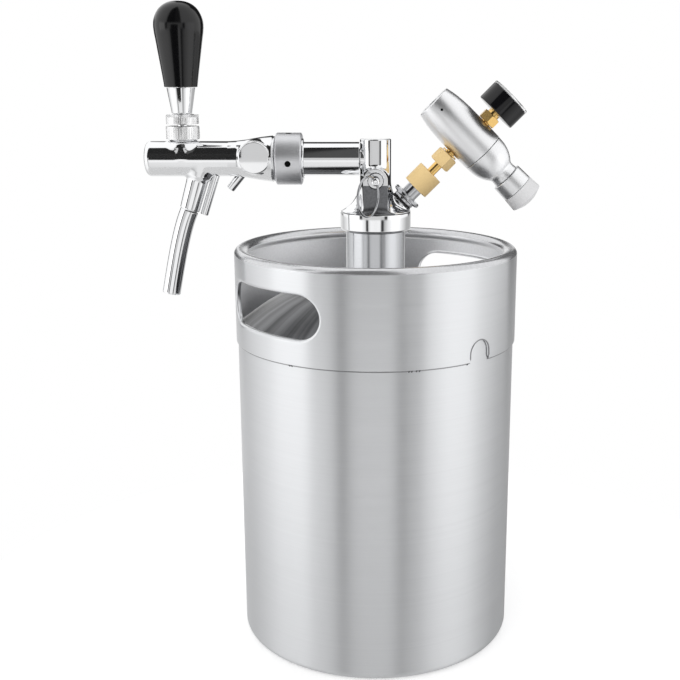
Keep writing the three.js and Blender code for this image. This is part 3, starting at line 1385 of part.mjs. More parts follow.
// Coiled pressure tube and the block that it springs from
function pressureTube() {
  const low = TUBE_PLACE - half(TUBE_WIDTH);
  const high = TUBE_PLACE + half(TUBE_WIDTH);
  const shape = new THREE.Shape();
  const inner = TUBE_RING_RADIUS - half(TUBE_WIDTH);
  const outer = TUBE_RING_RADIUS + half(TUBE_WIDTH);
  const sweep = TUBE_SWEEP * DEGREE;
  shape.absarc(0, 0, outer, 0, sweep, false);
  shape.absarc(0, 0, inner, sweep, 0, true);
  shape.closePath();
  const coil = upright(shape, low, high, SMALL_SIDES);
  const base = GAUGE_FLOOR + 2 * FIT;
  const socket = rod(GAUGE_STEM_SPIGOT, base, low + half(TUBE_WIDTH), SMALL_SIDES);
  const link = block([0, -half(TUBE_WIDTH), base], [outer, half(TUBE_WIDTH), low + half(TUBE_WIDTH)]);
  return join(coil, socket, link);
}

function gaugeDial() {
  const diameter = GAUGE_DIAMETER - 2 * GAUGE_WALL - 2 * FIT;
  return tube(diameter, DIAL_HOLE, DIAL_PLACE, DIAL_PLACE + DIAL_THICKNESS, MIDDLE_SIDES);
}

// Clear cover with a plug that fits inside the case
function gaugeLens() {
  const outer = half(GAUGE_DIAMETER);
  const plug = outer - GAUGE_WALL - FIT;
  const low = GAUGE_RIM + FIT;
  const high = low + LENS_THICKNESS;
  const outline = [
    [0, low], [plug - EDGE, low], [plug - EDGE, low - LENS_PLUG], [plug, low - LENS_PLUG],
    [plug, low], [outer, low], [outer, high - half(EDGE)], [outer - half(EDGE), high], [0, high],
  ];
  return turned(outline, MIDDLE_SIDES);
}

// Pointer at its zero stop, on the shaft that passes through the dial
function gaugePointer() {
  const low = POINTER_PLACE;
  const high = POINTER_PLACE + POINTER_THICKNESS;
  const side = half(POINTER_WIDTH);
  const shape = new THREE.Shape();
  shape.moveTo(-POINTER_TAIL, -side);
  shape.lineTo(0, -side);
  shape.lineTo(POINTER_LENGTH, -half(side));
  shape.lineTo(POINTER_LENGTH, half(side));
  shape.lineTo(0, side);
  shape.lineTo(-POINTER_TAIL, side);
  shape.closePath();
  const hub = rod(POINTER_HUB, low, high, PIN_SIDES);
  const shaftFoot = TUBE_PLACE + half(TUBE_WIDTH);
  const shaft = rod(POINTER_SHAFT, shaftFoot, low + half(POINTER_THICKNESS), PIN_SIDES);
  return join(upright(shape, low, high), hub, shaft);
}

// The tree: the keg at the origin, and the tap head on top of its neck with its three branches
const dispenser = new THREE.Group();

const keg = new THREE.Group();
keg.add(
  piece("keg_shell", kegShell(), "brushedSteel"),
  piece("keg_dome", kegDome(), "spunSteel"),
  piece("keg_neck", kegNeck(), "spunSteel"),
  piece("handle_ring", handleRing(), "brushedSteel"),
);

const tap = new THREE.Group();
tap.position.z = KEG_HEIGHT + NECK_RISE;
tap.add(
  piece("union_collar", unionCollar(), "chrome"),
  piece("neck_gasket", neckGasket(), "rubber"),
  piece("retaining_ring", retainingRing(), "springSteel"),
  piece("tap_head", tapHead(), "chrome"),
  piece("dip_tube", dipTube(), "spunSteel"),
  piece("dip_tube_seal", dipTubeSeal(), "rubber"),
);

const faucet = new THREE.Group();
faucet.position.z = ARM_HEIGHT;
faucet.add(
  piece("arm_tube", armTube(), "chrome"),
  piece("arm_ring", armRing(), "chrome"),
  piece("coupling_nut", couplingNut(), "satinNickel"),
  piece("coupling_washer", couplingWasher(), "nylon"),
  piece("faucet_body", faucetBody(), "chrome"),
  piece("shuttle", shuttle(), "nylon"),
  piece("shuttle_seal", shuttleSeal(), "rubber"),
  piece("spout_tube", spoutTube(), "chrome"),
  piece("vent_tube", ventTube(), "chrome"),
);

const flowControl = new THREE.Group();
flowControl.position.set(-FLOW_REACH, 0, FLOW_RISE);
flowControl.add(
  piece("flow_barrel", flowBarrel(), "zinc"),
  piece("flow_lever", flowLever(), "chrome"),
  piece("flow_cap", flowCap(), "chrome"),
);

const lever = new THREE.Group();
lever.position.set(-LEVER_REACH, 0, PIVOT_HEIGHT);
lever.add(
  piece("lever_seat", leverSeat(), "nylon"),
  piece("lever_washer", leverWasher(), "nylon"),
  piece("bonnet_nut", bonnetNut(), "chrome"),
  piece("lever_stem", leverStem(), "zinc"),
  piece("handle_lock_ring", handleLockRing(), "chrome"),
  piece("handle_ferrule", handleFerrule(), "chrome"),
  piece("tap_handle", tapHandle(), "blackGloss"),
);
faucet.add(flowControl, lever);

const relief = new THREE.Group();
relief.position.z = RELIEF_HEIGHT;
const ring = piece("pull_ring", pullRing(), "chrome");
ring.rotation.z = PULL_RING_HEADING * DEGREE;
ring.position.set(0, -PIN_EYE, 0);
ring.position.addScaledVector(RING_OUT, RING_RADIUS * Math.sin(RING_LEAN));
ring.position.addScaledVector(UP, -RING_RADIUS * Math.cos(RING_LEAN));
relief.add(
  piece("relief_plug", reliefPlug(), "zinc"),
  piece("relief_stem", reliefStem(), "chrome"),
  piece("relief_seal", reliefSeal(), "rubber"),
  piece("relief_spring", reliefSpring(), "springSteel"),
  ring,
);

const gasLine = new THREE.Group();
gasLine.position.z = -GAS_DROP;
gasLine.rotation.y = GAS_LEAN * DEGREE;
gasLine.add(
  piece("gas_ring", gasRing(), "rubber"),
  piece("gas_post", gasPost(), "zinc"),
  piece("gas_lock_nut", gasLockNut(), "zinc"),
  piece("gas_coupler", gasCoupler(), "paleBrass"),
  piece("gas_stem", gasStem(), "goldBrass"),
  piece("swivel_nut", swivelNut(), "paleBrass"),
  piece("outlet_collar", outletCollar(), "goldBrass"),
);

const regulator = new THREE.Group();
regulator.position.z = REGULATOR_REACH;
regulator.rotation.y = QUARTER;
regulator.add(
  piece("regulator_barrel", regulatorBarrel(), "aluminium"),
  piece("piercing_pin", piercingPin(), "zinc"),
  piece("cartridge_seal", cartridgeSeal(), "rubber"),
  piece("regulator_piston", regulatorPiston(), "goldBrass"),
  piece("piston_seal", pistonSeal(), "rubber"),
  piece("main_spring", mainSpring(), "springSteel"),
  piece("spring_button", springButton(), "goldBrass"),
  piece("adjusting_screw", adjustingScrew(), "zinc"),
  piece("regulator_cap", regulatorCap(), "aluminium"),
  piece("knob_collar", knobCollar(), "chrome"),
  piece("knob_grip", knobGrip(), "frosted"),
);

const gauge = new THREE.Group();
gauge.position.set(GAUGE_PLACE, 0, REGULATOR_REACH);
const pointer = piece("gauge_pointer", gaugePointer(), "pointerRed");
pointer.rotation.z = -POINTER_REST * DEGREE;
gauge.add(
  piece("gauge_stem", gaugeStem(), "goldBrass"),
  piece("gauge_case", gaugeCase(), "blackSatin"),
  piece("pressure_tube", pressureTube(), "goldBrass"),
  piece("gauge_dial", gaugeDial(), "dialWhite"),
  piece("gauge_lens", gaugeLens(), "clear"),
  pointer,
);
gasLine.add(regulator, gauge);

tap.add(faucet, relief, gasLine);
dispenser.add(keg, tap);

export default dispenser;
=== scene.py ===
"""Dresses the mini keg beer dispenser: keg, draught tap, gas line, regulator and gauge."""

import math

import bmesh
import bpy
import numpy as np
from bpy.props import FloatProperty, FloatVectorProperty, IntProperty, PointerProperty
from mathutils import Matrix, Vector


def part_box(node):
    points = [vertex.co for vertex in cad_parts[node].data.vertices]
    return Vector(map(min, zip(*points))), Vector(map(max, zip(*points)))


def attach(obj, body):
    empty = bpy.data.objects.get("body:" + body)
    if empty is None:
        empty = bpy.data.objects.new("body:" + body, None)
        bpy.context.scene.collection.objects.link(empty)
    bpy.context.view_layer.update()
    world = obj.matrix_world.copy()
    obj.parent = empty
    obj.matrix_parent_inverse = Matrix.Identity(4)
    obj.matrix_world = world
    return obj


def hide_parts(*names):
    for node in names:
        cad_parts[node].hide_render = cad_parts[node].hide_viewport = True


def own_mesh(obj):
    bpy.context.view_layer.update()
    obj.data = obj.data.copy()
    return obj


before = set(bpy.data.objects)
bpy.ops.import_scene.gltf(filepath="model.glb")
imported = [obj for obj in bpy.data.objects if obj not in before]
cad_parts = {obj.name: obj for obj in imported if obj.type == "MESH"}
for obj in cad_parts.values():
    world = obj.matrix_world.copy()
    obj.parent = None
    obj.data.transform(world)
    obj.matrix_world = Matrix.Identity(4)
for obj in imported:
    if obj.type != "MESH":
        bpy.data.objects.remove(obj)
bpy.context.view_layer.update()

bl_info = {
    "name": "Mini Keg Dispenser",
    "version": (1, 0, 0),
    "blender": (4, 5, 0),
    "location": "3D View > Sidebar > Keg",
    "description": "Dresses a five litre keg with its draught tap and gas regulator",
    "category": "Add Mesh",
}

MM = 0.001

UP = Vector((0, 0, 1))
FRONT = Vector((0, -1, 0))
BACK = Vector((0, 1, 0))
LEFT = Vector((-1, 0, 0))
DOWN = Vector((0, 0, -1))
GAS_WAY = Vector((1, 0, 1)).normalized()
KNOB_WAY = Vector((1, 0, -1)).normalized()


def box_of(node):
    """Lowest and highest corner of a node of the frame."""
    low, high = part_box(node)
    return Vector(low), Vector(high)


def middle_of(node):
    low, high = box_of(node)
    return (low + high) / 2


RING_LOW, RING_HIGH = box_of("handle_ring")
KEG_RADIUS = RING_HIGH.x
KEG_TOP = RING_HIGH.z
NECK_TOP = box_of("keg_neck")[1].z
ARM_HEIGHT = middle_of("arm_tube").z
LEVER_AXIS = Vector((middle_of("tap_handle").x, 0, 0))
FLOW_HUB = Vector((middle_of("flow_cap").x, 0, middle_of("flow_cap").z))
RELIEF_HEIGHT = middle_of("relief_plug").z
ARM_AXIS = Vector((0, 0, ARM_HEIGHT))
RELIEF_AXIS = Vector((0, 0, RELIEF_HEIGHT))
GAS_ORIGIN = Vector((0, 0, middle_of("gas_coupler").z - middle_of("gas_coupler").x))
BARREL_REACH = middle_of("regulator_cap").x + middle_of("regulator_cap").z - GAS_ORIGIN.z
BARREL_AXIS = GAS_ORIGIN + GAS_WAY * (BARREL_REACH / math.sqrt(2))
GAUGE_REACH = (middle_of("gauge_case") - BARREL_AXIS).dot(KNOB_WAY)
GAUGE_AXIS = BARREL_AXIS + KNOB_WAY * GAUGE_REACH


# Sizes and colours a user would change


class KegSizes(bpy.types.PropertyGroup):
    edge_round: FloatProperty(
        name="Edge rounding",
        description="Radius of the broken edges on turned pieces",
        default=0.25 * MM,
        precision=5,
        unit="LENGTH",
    )
    lip_round: FloatProperty(
        name="Hand hole lip",
        description="Radius of the rolled edge round each hand hole",
        default=1.7 * MM,
        precision=5,
        unit="LENGTH",
    )
    casting_pitch: FloatProperty(
        name="Casting detail",
        description="Spacing of the mesh on the cast head and faucet",
        default=0.42 * MM,
        precision=5,
        unit="LENGTH",
    )
    nut_ribs: IntProperty(
        name="Bonnet nut ribs",
        description="Number of upright ribs round the bonnet nut",
        default=44,
        min=8,
    )
    ring_ribs: IntProperty(
        name="Lock ring ribs",
        description="Number of ribs round the ring under the handle",
        default=60,
        min=8,
    )
    thread_pitch: FloatProperty(
        name="Thread pitch",
        description="Distance between the turns of the post's thread",
        default=1.1 * MM,
        precision=5,
        unit="LENGTH",
    )


class KegColours(bpy.types.PropertyGroup):
    keg: FloatVectorProperty(
        name="Keg steel",
        description="Colour of the satin steel",
        subtype="COLOR",
        default=(0.76, 0.77, 0.785),
        min=0,
        max=1,
    )
    chrome: FloatVectorProperty(
        name="Chrome",
        description="Colour of the polished chrome",
        subtype="COLOR",
        default=(0.90, 0.905, 0.915),
        min=0,
        max=1,
    )
    pale_brass: FloatVectorProperty(
        name="Pale brass",
        description="Colour of the coupler and the swivel nut",
        subtype="COLOR",
        default=(0.95, 0.68, 0.33),
        min=0,
        max=1,
    )
    gold_brass: FloatVectorProperty(
        name="Gold brass",
        description="Colour of the stems",
        subtype="COLOR",
        default=(0.85, 0.56, 0.20),
        min=0,
        max=1,
    )
    handle: FloatVectorProperty(
        name="Handle",
        description="Colour of the glossy handle",
        subtype="COLOR",
        default=(0.003, 0.003, 0.0035),
        min=0,
        max=1,
    )


# Meshes


def new_object(name, mesh):
    thing = bpy.data.objects.new(name, mesh)
    bpy.context.scene.collection.objects.link(thing)
    return thing


def mesh_from(name, points, faces):
    mesh = bpy.data.meshes.new(name)
    mesh.from_pydata([tuple(point) for point in points], [], faces)
    mesh.validate()
    return mesh


def tidy_mesh(mesh, sharp=35):
    """Merges doubles, points the faces outwards and shades smooth between the sharp edges."""
    shape = bmesh.new()
    shape.from_mesh(mesh)
    bmesh.ops.remove_doubles(shape, verts=shape.verts, dist=1e-7)
    bmesh.ops.recalc_face_normals(shape, faces=shape.faces)
    shape.to_mesh(mesh)
    shape.free()
    mesh.shade_smooth()
    mesh.set_sharp_from_angle(angle=math.radians(sharp))
    return mesh


def applied(thing):
    """Turns an object's modifiers into a plain mesh."""
    held = bpy.context.evaluated_depsgraph_get()
    mesh = bpy.data.meshes.new_from_object(thing.evaluated_get(held), depsgraph=held)
    thing.modifiers.clear()
    old = thing.data
    thing.data = mesh
    if isinstance(old, bpy.types.Mesh):
        bpy.data.meshes.remove(old)
    return thing


def combined(thing, other, way):
    """Joins, cuts or keeps the shared part of two closed objects, and removes the second."""
    modifier = thing.modifiers.new("Combine", "BOOLEAN")
    modifier.operation = way
    modifier.solver = "EXACT"
    modifier.object = other
    applied(thing)
    mesh = other.data
    bpy.data.objects.remove(other)
    bpy.data.meshes.remove(mesh)
    return thing


def placed(thing, centre, axis, turn=0):
    """Moves a mesh made round +Z onto an axis, in its vertices."""
    swing = UP.rotation_difference(axis).to_matrix().to_4x4()
    thing.data.transform(Matrix.Translation(centre) @ swing @ Matrix.Rotation(turn, 4, "Z"))
    thing.data.update()
    return thing


def section_of(node, centre, axis, side):
    """Outline of a turned node as (radius, height) points, read on one side of its axis."""
    shape = bmesh.new()
    shape.from_mesh(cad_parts[node].data)
    bmesh.ops.remove_doubles(shape, verts=shape.verts, dist=1e-6)
    side = Matrix.Rotation(0.005, 3, axis) @ side
    everything = shape.verts[:] + shape.edges[:] + shape.faces[:]
    cut = bmesh.ops.bisect_plane(
        shape, geom=everything, dist=1e-9, plane_co=centre, plane_no=axis.cross(side)
    )
    links = {}
    for edge in cut["geom_cut"]:
        if not isinstance(edge, bmesh.types.BMEdge):
            continue
        ends = []
        for corner in edge.verts:
            out = corner.co - centre
            ends.append([out.dot(side), out.dot(axis)])
        if ends[0][0] < 1e-7 and ends[1][0] < 1e-7:
            continue
        for near, far in (ends, ends[::-1]):
            if near[0] < 0:
                share = near[0] / (near[0] - far[0])
                near[1] += (far[1] - near[1]) * share
                near[0] = 0.0
        keys = [(round(r * 2e6), round(h * 2e6)) for r, h in ends]
        if keys[0] != keys[1]:
            links.setdefault(keys[0], {})[keys[1]] = True
            links.setdefault(keys[1], {})[keys[0]] = True
    shape.free()
    loops = []
    left = set(links)
    while left:
        ends = [key for key in left if len(links[key]) == 1]
        key = ends[0] if ends else next(iter(left))
        chain = [key]
        left.discard(key)
        while True:
            ways = [other for other in links[chain[-1]] if other in left]
            if not ways:
                break
            chain.append(ways[0])
            left.discard(ways[0])
        loops.append((chain, not ends))
    chain, closed = max(loops, key=lambda loop: len(loop[0]))
    points = [Vector((r / 2e6, h / 2e6)) for r, h in chain]
    return straightened(points, closed), closed


def straightened(points, closed):
    """Drops the points that lie on a straight run of the outline."""
    kept = []
    count = len(points)
    for index, point in enumerate(points):
        if not closed and index in (0, count - 1):
            kept.append(point)
            continue
        before = (point - points[index - 1]).normalized()
        after = (points[(index + 1) % count] - point).normalized()
        if before.dot(after) < math.cos(math.radians(0.7)):
            kept.append(point)
    return kept


def rounded_outline(points, closed, edge, sharp=62, step=7):
    """Bends the outline through its shallow corners and breaks the sharp ones."""
    count = len(points)
    last = count if closed else count - 1
    legs = [points[(i + 1) % count] - points[i] for i in range(last)]
    tangents = [None] * count
    for index in range(count):
        if not closed and index in (0, count - 1):
            leg = legs[0] if index == 0 else legs[-1]
            if points[index].x < 1e-6 and abs(leg.y) > 0.03 * abs(leg.x) and abs(leg.x) > 1e-6:
                tangents[index] = Vector((math.copysign(1, leg.x), 0))
            continue
        into, out = legs[index - 1], legs[index % len(legs)]
        turn = into.angle(out, 0)
        if math.degrees(turn) > sharp or math.degrees(turn) < 0.7:
            continue
        if into.length > 3 * out.length:
            tangents[index] = into.normalized()
        elif out.length > 3 * into.length:
            tangents[index] = out.normalized()
        else:
            mean = into.normalized() * out.length + out.normalized() * into.length
            tangents[index] = mean.normalized()
    result = []
    for index in range(last):
        start, end = points[index], points[(index + 1) % count]
        leg = legs[index]
        way = leg.normalized()
        first = tangents[index] or way
        final = tangents[(index + 1) % count] or way
        result.append((start, tangents[index] is None))
        turn = max(first.angle(way, 0) + way.angle(final, 0), first.angle(final, 0))
        if math.degrees(turn) < 1:
            continue
        half_turn = max(turn / 2, 0.02)
        reach = leg.length * (2 / 3) * math.tan(half_turn / 2) / math.sin(half_turn)
        steps = max(2, math.ceil(math.degrees(turn) / step))
        one, two = start + first * reach, end - final * reach
        for part in range(1, steps):
            t = part / steps
            u = 1 - t
            spot = start * u**3 + one * (3 * u * u * t) + two * (3 * u * t * t) + end * t**3
            result.append((spot, False))
    if not closed:
        result.append((points[-1], False))
    return broken_corners(result, closed, edge)


def broken_corners(spots, closed, edge):
    """Gives each sharp corner a small round, held by a point close to either side."""
    count = len(spots)
    smooth = []
    for index, (spot, corner) in enumerate(spots):
        if not corner or (not closed and index in (0, count - 1)) or edge <= 0:
            smooth.append(spot)
            continue
        into = spot - spots[index - 1][0]
        out = spots[(index + 1) % count][0] - spot
        turn = into.angle(out, 0)
        if math.degrees(turn) < 20:
            smooth.append(spot)
            continue
        cut = min(edge * math.tan(turn / 2), 0.3 * into.length, 0.3 * out.length)
        hold = min(0.6 * cut, 0.1 * into.length, 0.1 * out.length)
        first = spot - into.normalized() * cut
        final = spot + out.normalized() * cut
        smooth.append(first - into.normalized() * hold)
        for t in (0, 0.33, 0.67, 1):
            smooth.append(first * (1 - t) ** 2 + spot * (2 * t * (1 - t)) + final * t**2)
        smooth.append(final + out.normalized() * hold)
    return smooth


def spun_mesh(name, outline, closed, segments):
    """Spins an outline of (radius, height) round +Z, with U round it and V along it."""
    points, rows = [], []
    for radius, height in outline:
        if radius < 1e-6:
            rows.append([len(points)])
            points.append((0, 0, height))
            continue
        rows.append(range(len(points), len(points) + segments))
        for part in range(segments):
            angle = 2 * math.pi * part / segments
            points.append((radius * math.sin(angle), -radius * math.cos(angle), height))
    lengths = [0.0]
    for before, after in zip(outline, list(outline[1:]) + [outline[0]]):
        lengths.append(lengths[-1] + (Vector(after) - Vector(before)).length)
    faces, marks = [], []
    pairs = len(rows) if closed else len(rows) - 1
    for index in range(pairs):
        low, high = rows[index], rows[(index + 1) % len(rows)]
        v_low, v_high = lengths[index], lengths[index + 1]
        if len(low) == 1 and len(high) == 1:
            continue
        for part in range(segments):
            after = (part + 1) % segments
            u_low, u_high = part / segments, (part + 1) / segments
            if len(low) == 1:
                faces.append((low[0], high[after], high[part]))
                marks.append(((u_low, v_low), (u_high, v_high), (u_low, v_high)))
            elif len(high) == 1:
                faces.append((low[part], low[after], high[0]))
                marks.append(((u_low, v_low), (u_high, v_low), (u_low, v_high)))
            else:
                faces.append((low[part], low[after], high[after], high[part]))
                marks.append(((u_low, v_low), (u_high, v_low), (u_high, v_high), (u_low, v_high)))
    mesh = bpy.data.meshes.new(name)
    mesh.from_pydata(points, [], faces)
    layer = mesh.uv_layers.new(name="turned")
    flat = [value for mark in marks for pair in mark for value in pair]
    layer.data.foreach_set("uv", flat)
    return mesh


def turned_piece(name, node, centre, axis, side, segments=96, edge=None, sharp=62):
    """A smooth copy of a turned node: its outline comes from the frame and is spun again."""
    if edge is None:
        edge = bpy.context.scene.keg_sizes.edge_round
    outline, closed = section_of(node, centre, axis, side)
    outline = rounded_outline(outline, closed, edge, sharp)
    thing = new_object(name, spun_mesh(name, outline, closed, segments))
    placed(thing, centre, axis)
    tidy_mesh(thing.data)
    return thing


def rod(name, radius, low, high, segments=64, edge=0.0):
    """A rod round +Z between two heights."""
    outline = [Vector((0, low)), Vector((radius, low)), Vector((radius, high)), Vector((0, high))]
    outline = rounded_outline(outline, False, edge)
    thing = new_object(name, spun_mesh(name, outline, False, segments))
    tidy_mesh(thing.data)
    return thing


def prism(name, corners, low, high):
    """A flat outline of (x, y) given thickness along +Z."""
    count = len(corners)
    points = [(x, y, low) for x, y in corners] + [(x, y, high) for x, y in corners]
    faces = [tuple(range(count - 1, -1, -1)), tuple(range(count, 2 * count))]
    faces += [(i, (i + 1) % count, count + (i + 1) % count, count + i) for i in range(count)]
    thing = new_object(name, mesh_from(name, points, faces))
    tidy_mesh(thing.data)
    return thing


def hexagon_bar(name, flats, low, high, edge):
    """A hexagonal bar round +Z with its corners turned down at both ends."""
    corner = flats / 2 / math.cos(math.pi / 6)
    corners = [
        (corner * math.cos(side * math.pi / 3), corner * math.sin(side * math.pi / 3))
        for side in range(6)
    ]
    bar = prism(name, corners, low, high)
    drop = (corner - flats / 2) * 0.8
    outline = [
        Vector((0, low)),
        Vector((flats / 2 - edge, low)),
        Vector((corner + edge, low + drop)),
        Vector((corner + edge, high - drop)),
        Vector((flats / 2 - edge, high)),
        Vector((0, high)),
    ]
    turned_down = new_object(name + "_turned", spun_mesh(name, outline, False, 96))
    tidy_mesh(turned_down.data)
    return combined(bar, turned_down, "INTERSECT")


def bevelled(thing, width, angle=35, segments=2):
    modifier = thing.modifiers.new("Broken edges", "BEVEL")
    modifier.width = width
    modifier.segments = segments
    modifier.limit_method = "ANGLE"
    modifier.angle_limit = math.radians(angle)
    modifier.harden_normals = False
    applied(thing)
    thing.data.shade_smooth()
    thing.data.set_sharp_from_angle(angle=math.radians(angle))
    return thing


def ready(thing, body, slot, material, *nodes):
    """Gives a finished piece its material, and puts it on its body in place of its nodes."""
    thing.data.materials.clear()
    thing.data.materials.append(material)
    for face in thing.data.polygons:
        face.material_index = 0
    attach(thing, body)
    if nodes:
        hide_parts(*nodes)
    return thing


# Cast shapes, as distances from a surface


def outline_distance(across, along, outline):
    """Distance from a closed outline, negative inside. A run on the axis is no surface."""
    start = np.array([tuple(point) for point in outline], dtype=np.float64)
    end = np.roll(start, -1, axis=0)
    nearest = np.full(across.shape, 1e9)
    inside = np.zeros(across.shape, dtype=bool)
    for (x1, y1), (x2, y2) in zip(start, end):
        crosses = (y1 > along) != (y2 > along)
        if y1 != y2:
            reach = x1 + (along - y1) * (x2 - x1) / (y2 - y1)
            inside ^= crosses & (across < reach)
        if abs(x1) < 1e-9 and abs(x2) < 1e-9:
            continue
        dx, dy = x2 - x1, y2 - y1
        length = dx * dx + dy * dy
        if length < 1e-16:
            continue
        share = np.clip(((across - x1) * dx + (along - y1) * dy) / length, 0, 1)
        gap = (across - x1 - share * dx) ** 2 + (along - y1 - share * dy) ** 2
        nearest = np.minimum(nearest, gap)
    return np.where(inside, -1, 1) * np.sqrt(nearest)


def from_axis(points, centre, axis):
    """How far each point lies from an axis, and how far along it."""
    out = points - np.array(centre)
    along = out @ np.array(axis)
    return np.linalg.norm(out - along[:, None] * np.array(axis), axis=1), along


def turned_form(outline, centre, axis):
    """A turned shape round an axis."""
    return lambda points: outline_distance(*from_axis(points, centre, axis), outline)


def rod_form(radius, low, high, centre, axis):
    """A round rod or hole along an axis, with its sizes in millimetres."""

    def distance(points):
        across, along = from_axis(points, centre, axis)
        ends = np.maximum(low * MM - along, along - high * MM)
        return np.maximum(across - radius * MM, ends)

    return distance


def flat_form(pairs, low, high, centre):
    """An upright outline seen from the front, given thickness towards it, in millimetres."""
    outline = on_outline(pairs)

    def distance(points):
        out = points - np.array(centre)
        depth = -out[:, 1]
        edge = outline_distance(out[:, 0], out[:, 2], outline)
        return np.maximum(edge, np.maximum(low * MM - depth, depth - high * MM))

    return distance


def melted(first, second, fillet):
    """The union of two distances with a fillet where they meet."""
    mix = np.clip(0.5 + 0.5 * (second - first) / fillet, 0, 1)
    return second * (1 - mix) + first * mix - fillet * mix * (1 - mix)


def cast_mesh(name, distance, low, high, pitch):
    """Meshes the surface where a distance is nought, and settles each corner onto it."""
    block = 4
    low = np.array(low) - 2 * pitch
    cells = (np.ceil((np.array(high) + 2 * pitch - low) / (pitch * block)).astype(int)) * block
    blocks = cells // block
    axes = [low[i] + pitch * block * (np.arange(blocks[i]) + 0.5) for i in range(3)]
    centres = np.stack(np.meshgrid(*axes, indexing="ij"), axis=-1).reshape(-1, 3)
    coarse = distance(centres).reshape(blocks)
    near = np.abs(coarse) < pitch * block * 0.9
    for axis in range(3):
        coarse = np.repeat(coarse, block, axis=axis)
        near = np.repeat(near, block, axis=axis)
    values = np.pad(coarse, ((0, 1), (0, 1), (0, 1)), mode="edge")
    wanted = np.zeros(values.shape, dtype=bool)
    for dx in (0, 1):
        for dy in (0, 1):
            for dz in (0, 1):
                wanted[dx : dx + cells[0], dy : dy + cells[1], dz : dz + cells[2]] |= near
    places = np.argwhere(wanted)
    batches = np.array_split(places, 1 + len(places) // 200000)
    values[wanted] = np.concatenate([distance(low + pitch * batch) for batch in batches])
    inside = values < 0
    total = np.zeros(tuple(cells) + (3,), dtype=np.float32)
    hits = np.zeros(tuple(cells), dtype=np.int32)
    quads = []
    numbers = np.arange(int(np.prod(cells))).reshape(tuple(cells))
    for axis in range(3):
        others = [i for i in range(3) if i != axis]
        first = [slice(None)] * 3
        second = [slice(None)] * 3
        first[axis] = slice(0, -1)
        second[axis] = slice(1, None)
        for i in others:
            first[i] = slice(1, -1)
            second[i] = slice(1, -1)
        a, b = values[tuple(first)], values[tuple(second)]
        change = inside[tuple(first)] != inside[tuple(second)]
        spots = np.argwhere(change)
        share = (a / np.where(a == b, 1, a - b))[change]
        base = spots.copy()
        for i in others:
            base[:, i] += 1
        crossing = base.astype(np.float64)
        crossing[:, axis] += share
        around = []
        for one, two in ((-1, -1), (0, -1), (0, 0), (-1, 0)):
            cell = base.copy()
            cell[:, others[0]] += one
            cell[:, others[1]] += two
            index = tuple(cell.T)
            np.add.at(total, index, crossing)
            np.add.at(hits, index, 1)
            around.append(numbers[index])
        quad = np.stack(around, axis=1)
        turn_back = inside[tuple(first)][change]
        if axis == 1:
            turn_back = ~turn_back
        quad[~turn_back] = quad[~turn_back][:, ::-1]
        quads.append(quad)
    used = hits.reshape(-1) > 0
    renumbered = np.cumsum(used) - 1
    points = total.reshape(-1, 3)[used] / hits.reshape(-1)[used][:, None]
    points = low + pitch * points.astype(np.float64)
    step = 0.02 * pitch
    for _ in range(3):
        here = distance(points)
        slope = np.stack(
            [(distance(points + step * np.eye(3)[i]) - here) / step for i in range(3)], axis=1
        )
        size = np.maximum((slope**2).sum(axis=1), 0.3)
        move = -(here / size)[:, None] * slope
        reach = np.linalg.norm(move, axis=1, keepdims=True)
        points += move * np.minimum(1, pitch / np.maximum(reach, 1e-12))
    faces = renumbered[np.concatenate(quads)]
    mesh = bpy.data.meshes.new(name)
    mesh.from_pydata(points.tolist(), [], faces.tolist())
    mesh.validate()
    mesh.shade_smooth()
    return mesh


# Geometry node trees


SOCKETS = {int: "NodeSocketInt", float: "NodeSocketFloat", tuple: "NodeSocketVector"}


def node_group(name, inputs):
    """A new tree with its sizes and material as named inputs and a mesh as its result."""
    tree = bpy.data.node_groups.new(name, "GeometryNodeTree")
    for label, value in inputs.items():
        kind = SOCKETS[type(value)]
        tree.interface.new_socket(label, in_out="INPUT", socket_type=kind).default_value = value
    tree.interface.new_socket("Material", in_out="INPUT", socket_type="NodeSocketMaterial")
    tree.interface.new_socket("Geometry", in_out="OUTPUT", socket_type="NodeSocketGeometry")
    start = tree.nodes.new("NodeGroupInput")
    return tree, start


def node(tree, kind, **settings):
    made = tree.nodes.new(kind)
    for key, value in settings.items():
        setattr(made, key, value)
    return made


def fed(tree, start, kind, sockets, **settings):
    """A new node whose sockets are fed from the tree's own inputs."""
    made = node(tree, kind, **settings)
    for socket, label in sockets.items():
        tree.links.new(start.outputs[label], made.inputs[socket])
    return made


def finished_tree(tree, geometry, start):
    """Ends a tree in Realize Instances and Set Material."""
    real = node(tree, "GeometryNodeRealizeInstances")
    paint = node(tree, "GeometryNodeSetMaterial")
    end = node(tree, "NodeGroupOutput")
    tree.links.new(geometry, real.inputs["Geometry"])
    tree.links.new(real.outputs["Geometry"], paint.inputs["Geometry"])
    tree.links.new(start.outputs["Material"], paint.inputs["Material"])
    tree.links.new(paint.outputs["Geometry"], end.inputs["Geometry"])
    return tree


def from_tree(name, tree, **values):
    """Runs a tree with the given inputs and keeps its result as a plain mesh."""
    thing = new_object(name, bpy.data.meshes.new(name))
    modifier = thing.modifiers.new("Geometry Nodes", "NODES")
    modifier.node_group = tree
    for item in tree.interface.items_tree:
        if item.item_type == "SOCKET" and item.in_out == "INPUT" and item.name in values:
            modifier[item.identifier] = values[item.name]
    return applied(thing)


def maths(tree, operation, first, second):
    made = node(tree, "ShaderNodeMath", operation=operation)
    for socket, value in zip(made.inputs, (first, second)):
        if isinstance(value, (int, float)):
            socket.default_value = value
        elif value is not None:
            tree.links.new(value, socket)
    return made.outputs[0]


